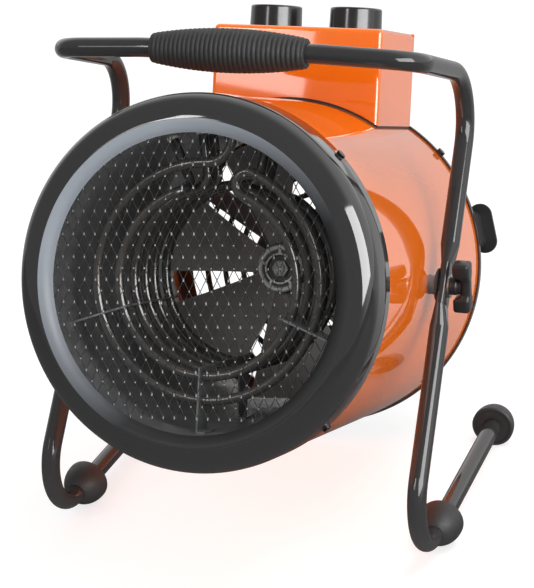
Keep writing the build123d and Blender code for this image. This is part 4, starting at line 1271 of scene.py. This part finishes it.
@dataclass
class RibbedGrip:
    """Crowned foam grip with fine ribs and plain ends.

    Points of an end's corner are distances in from its side and on from its end. Points of the wave are
    a place along one rib and a depth, as shares of the rib and of the groove.
    """

    length: float = 0.1318
    crown: float = 0.0181
    end: float = 0.0122
    corner: tuple[Pair, ...] = ((0.0014, 0.0), (0.0004, 0.0004), (0.0, 0.0012))
    ribs: int = 32
    groove: float = 0.0009
    wave: tuple[Pair, ...] = ((0.0, 1.0), (0.14, 0.72), (0.30, 0.12), (0.5, 0.0), (0.70, 0.12), (0.86, 0.72))
    cuff: float = 0.0024
    bore: float = 0.00805
    sides: int = 64

    def profile(self) -> Profile:
        """Outline from the bore round one end, along the ribs and round the other.

        Returns:
            The closed outline.
        """
        half = self.length / 2
        pitch = (self.length - 2 * self.cuff) / self.ribs
        start: Profile = [(self.bore, -half)]
        start += [(self.end - inwards, -half + onwards) for inwards, onwards in self.corner]
        ribs: Profile = []
        for number in range(self.ribs):
            for share, depth in self.wave:
                along = -half + self.cuff + (number + share) * pitch
                crowned = self.crown - (self.crown - self.end) * (along / half) ** 2
                ribs.append((crowned - self.groove * depth, along))
        ribs.append((ribs[0][0], half - self.cuff))
        return start + ribs + [(radius, -along) for radius, along in reversed(start)]

    def build(self) -> None:
        """Build the grip on the middle of the bar."""
        middle = box_of("handle_grip")[2]
        grip = turned("ribbed_grip", self.profile(), self.sides)
        settle(grip, Matrix.Translation(middle) @ Matrix.Rotation(math.radians(90.0), 4, "Y"))
        finished(grip, "stand", Finish.GRIP_FOAM, "handle_grip", angle=60.0)


# ---------------------------------------------------------------- studio
@dataclass(frozen=True)
class Softbox:
    """A soft studio lamp, which may only light the heater or only shine in its gloss."""

    name: str
    place: Triple
    aim: Triple
    size: Pair
    power: float
    lights: bool = True
    shines: bool = True

    def hang(self) -> None:
        """Put the lamp in the scene."""
        light = bpy.data.lights.new(self.name, "AREA")
        light.shape = "RECTANGLE"
        light.size, light.size_y = self.size
        light.energy = self.power
        lamp = bpy.data.objects.new(self.name, light)
        lamp.visible_camera = False
        lamp.visible_diffuse = self.lights
        lamp.visible_glossy = self.shines
        bpy.context.scene.collection.objects.link(lamp)
        facing = (Vector(self.aim) - Vector(self.place)).to_track_quat("-Z", "Y").to_matrix().to_4x4()
        lamp.matrix_world = Matrix.Translation(Vector(self.place)) @ facing


SOFTBOXES = (
    Softbox("lamp_right", (1.68, -0.40, 0.40), (0.0, 0.0, 0.25), (1.00, 1.15), 8.5, shines=False),
    Softbox("card_right", (1.42, -1.00, 0.98), (0.0, -0.15, 0.2), (1.55, 1.00), 40.0, lights=False),
    Softbox("lamp_strip", (-0.80, -1.66, 1.42), (-0.1, 0.0, 0.4), (0.16, 0.45), 2.0),
    Softbox("lamp_front", (-0.950, -1.97, 1.275), (0.0, 0.05, 0.4), (0.45, 0.40), 1.9),
    Softbox("lamp_top", (0.75, 0.05, 1.95), (0.0, 0.0, 0.2), (1.1, 1.1), 19.0, shines=False),
    Softbox("lamp_fill", (-0.20, -2.30, 1.60), (0.0, 0.0, 0.2), (1.4, 0.9), 12.0, shines=False),
)


@dataclass
class Camera:
    """The camera, at the photograph's place and angle. Its focal length and shift are in pixels."""

    turn: float = math.radians(20.59)
    dip: float = math.radians(22.03)
    roll: float = math.radians(-3.7)
    place: Triple = (0.593, -1.5679, 0.889)
    focal: float = 2098.9
    shift: Pair = (-5.57, -22.76)
    nearest: float = 0.05

    def build(self) -> None:
        """Put the camera in the scene."""
        data = bpy.data.cameras.new("camera")
        data.sensor_fit = "HORIZONTAL"
        data.sensor_width = SENSOR_WIDTH
        data.lens = self.focal * SENSOR_WIDTH / PICTURE_WIDTH
        data.shift_x, data.shift_y = (pixels / PICTURE_WIDTH for pixels in self.shift)
        data.clip_start = self.nearest
        camera = bpy.data.objects.new("camera", data)
        bpy.context.scene.collection.objects.link(camera)
        level = Vector((math.cos(self.turn), math.sin(self.turn), 0.0))
        ahead = math.cos(self.dip)
        look = Vector((-math.sin(self.turn) * ahead, math.cos(self.turn) * ahead, -math.sin(self.dip)))
        upright = level.cross(look)
        right = level * math.cos(self.roll) + upright * math.sin(self.roll)
        up = upright * math.cos(self.roll) - level * math.sin(self.roll)
        facing = Matrix((right, up, -look)).transposed().to_4x4()
        camera.matrix_world = Matrix.Translation(Vector(self.place)) @ facing
        bpy.context.scene.camera = camera


@dataclass
class Studio:
    """Pale floor, white surroundings and soft lamps.

    Glossy rays see the surroundings white behind the heater and dim on the camera's side, and a floor
    that glows only behind the heater. Diffuse rays see an even light, and some glow beneath the heater.
    """

    white_side: Triple = (0.42, 0.80, -0.42)
    white_fade: Pair = (-0.55, 0.15)
    dark_level: float = 0.22
    bright_level: float = 1.15
    plain_level: float = 0.72
    floor_size: float = 60.0
    floor_roughness: float = 0.9
    floor_gloss: float = 0.1
    floor_reflected: float = 0.10
    floor_bounced: float = 0.75
    floor_seen: float = 0.38
    glow_seen: float = 0.72
    glow_reflected: float = 0.46
    glow_behind: Pair = (0.05, 0.55)
    glow_bounced: float = 1.3
    glow_beneath: Pair = (0.15, 0.65)

    def surroundings(self) -> None:
        """White for the camera, even for diffuse rays, and white only behind the heater for glossy ones."""
        shader = WorldShader("surroundings")
        bpy.context.scene.world = shader.world
        path = shader.node("ShaderNodeLightPath").outputs
        facing = shader.vector_math("DOT_PRODUCT", shader.place, self.white_side).outputs["Value"]
        seen = shader.span(facing, self.dark_level, self.bright_level, *self.white_fade)
        seen.node.interpolation_type = "SMOOTHSTEP"
        level = shader.mix(path["Is Glossy Ray"], self.plain_level, seen)
        shader.shade(Color=WHITE, Strength=shader.mix(path["Is Camera Ray"], level, 1.0))

    def floor(self) -> None:
        """A pale floor that keeps the shadow."""
        bpy.ops.mesh.primitive_plane_add(size=self.floor_size, location=(0.0, 0.0, 0.0))
        floor = bpy.context.object
        floor.name = "floor"
        shader = Shader("floor_white")
        path = shader.node("ShaderNodeLightPath").outputs
        tone = shader.mix(path["Is Glossy Ray"], self.floor_bounced, self.floor_reflected)
        tone = shader.mix(path["Is Camera Ray"], tone, self.floor_seen)
        depth = shader.node("ShaderNodeSeparateXYZ", Vector=shader.place).outputs["Y"]
        behind = shader.span(depth, 0.0, self.glow_reflected, *self.glow_behind)
        away = shader.vector_math("LENGTH", shader.place).outputs["Value"]
        beneath = shader.span(away, self.glow_bounced, 0.0, *self.glow_beneath)
        glow = shader.mix(path["Is Glossy Ray"], beneath, behind)
        glow = shader.mix(path["Is Camera Ray"], glow, self.glow_seen)
        shader.shade(
            Base_Color=tone,
            Roughness=self.floor_roughness,
            Specular_IOR_Level=self.floor_gloss,
            Emission_Color=WHITE,
            Emission_Strength=glow,
        )
        floor.data.materials.append(shader.material)

    def build(self) -> None:
        """Set up the surroundings, the floor and the lamps."""
        self.surroundings()
        self.floor()
        for lamp in SOFTBOXES:
            lamp.hang()
        bpy.context.scene.view_settings.view_transform = "Standard"
        LOG.info("studio is set up")


def main() -> None:
    """Build, dress and light the heater."""
    logging.basicConfig(level=logging.INFO, format="%(name)s: %(message)s")
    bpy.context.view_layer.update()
    bpy.ops.object.select_all(action="DESELECT")
    Camera().build()
    Studio().build()
    dress_nodes()
    FrontRing().build()
    Grille().build()
    PressedFan().build()
    for node in ("front_foot_left", "front_foot_right", "rear_foot_left", "rear_foot_right"):
        RubberFoot().build(node)
    RibbedGrip().build()
    for side in ("left", "right"):
        ClampKnob().build(side)


if __name__ == "__main__":
    main()
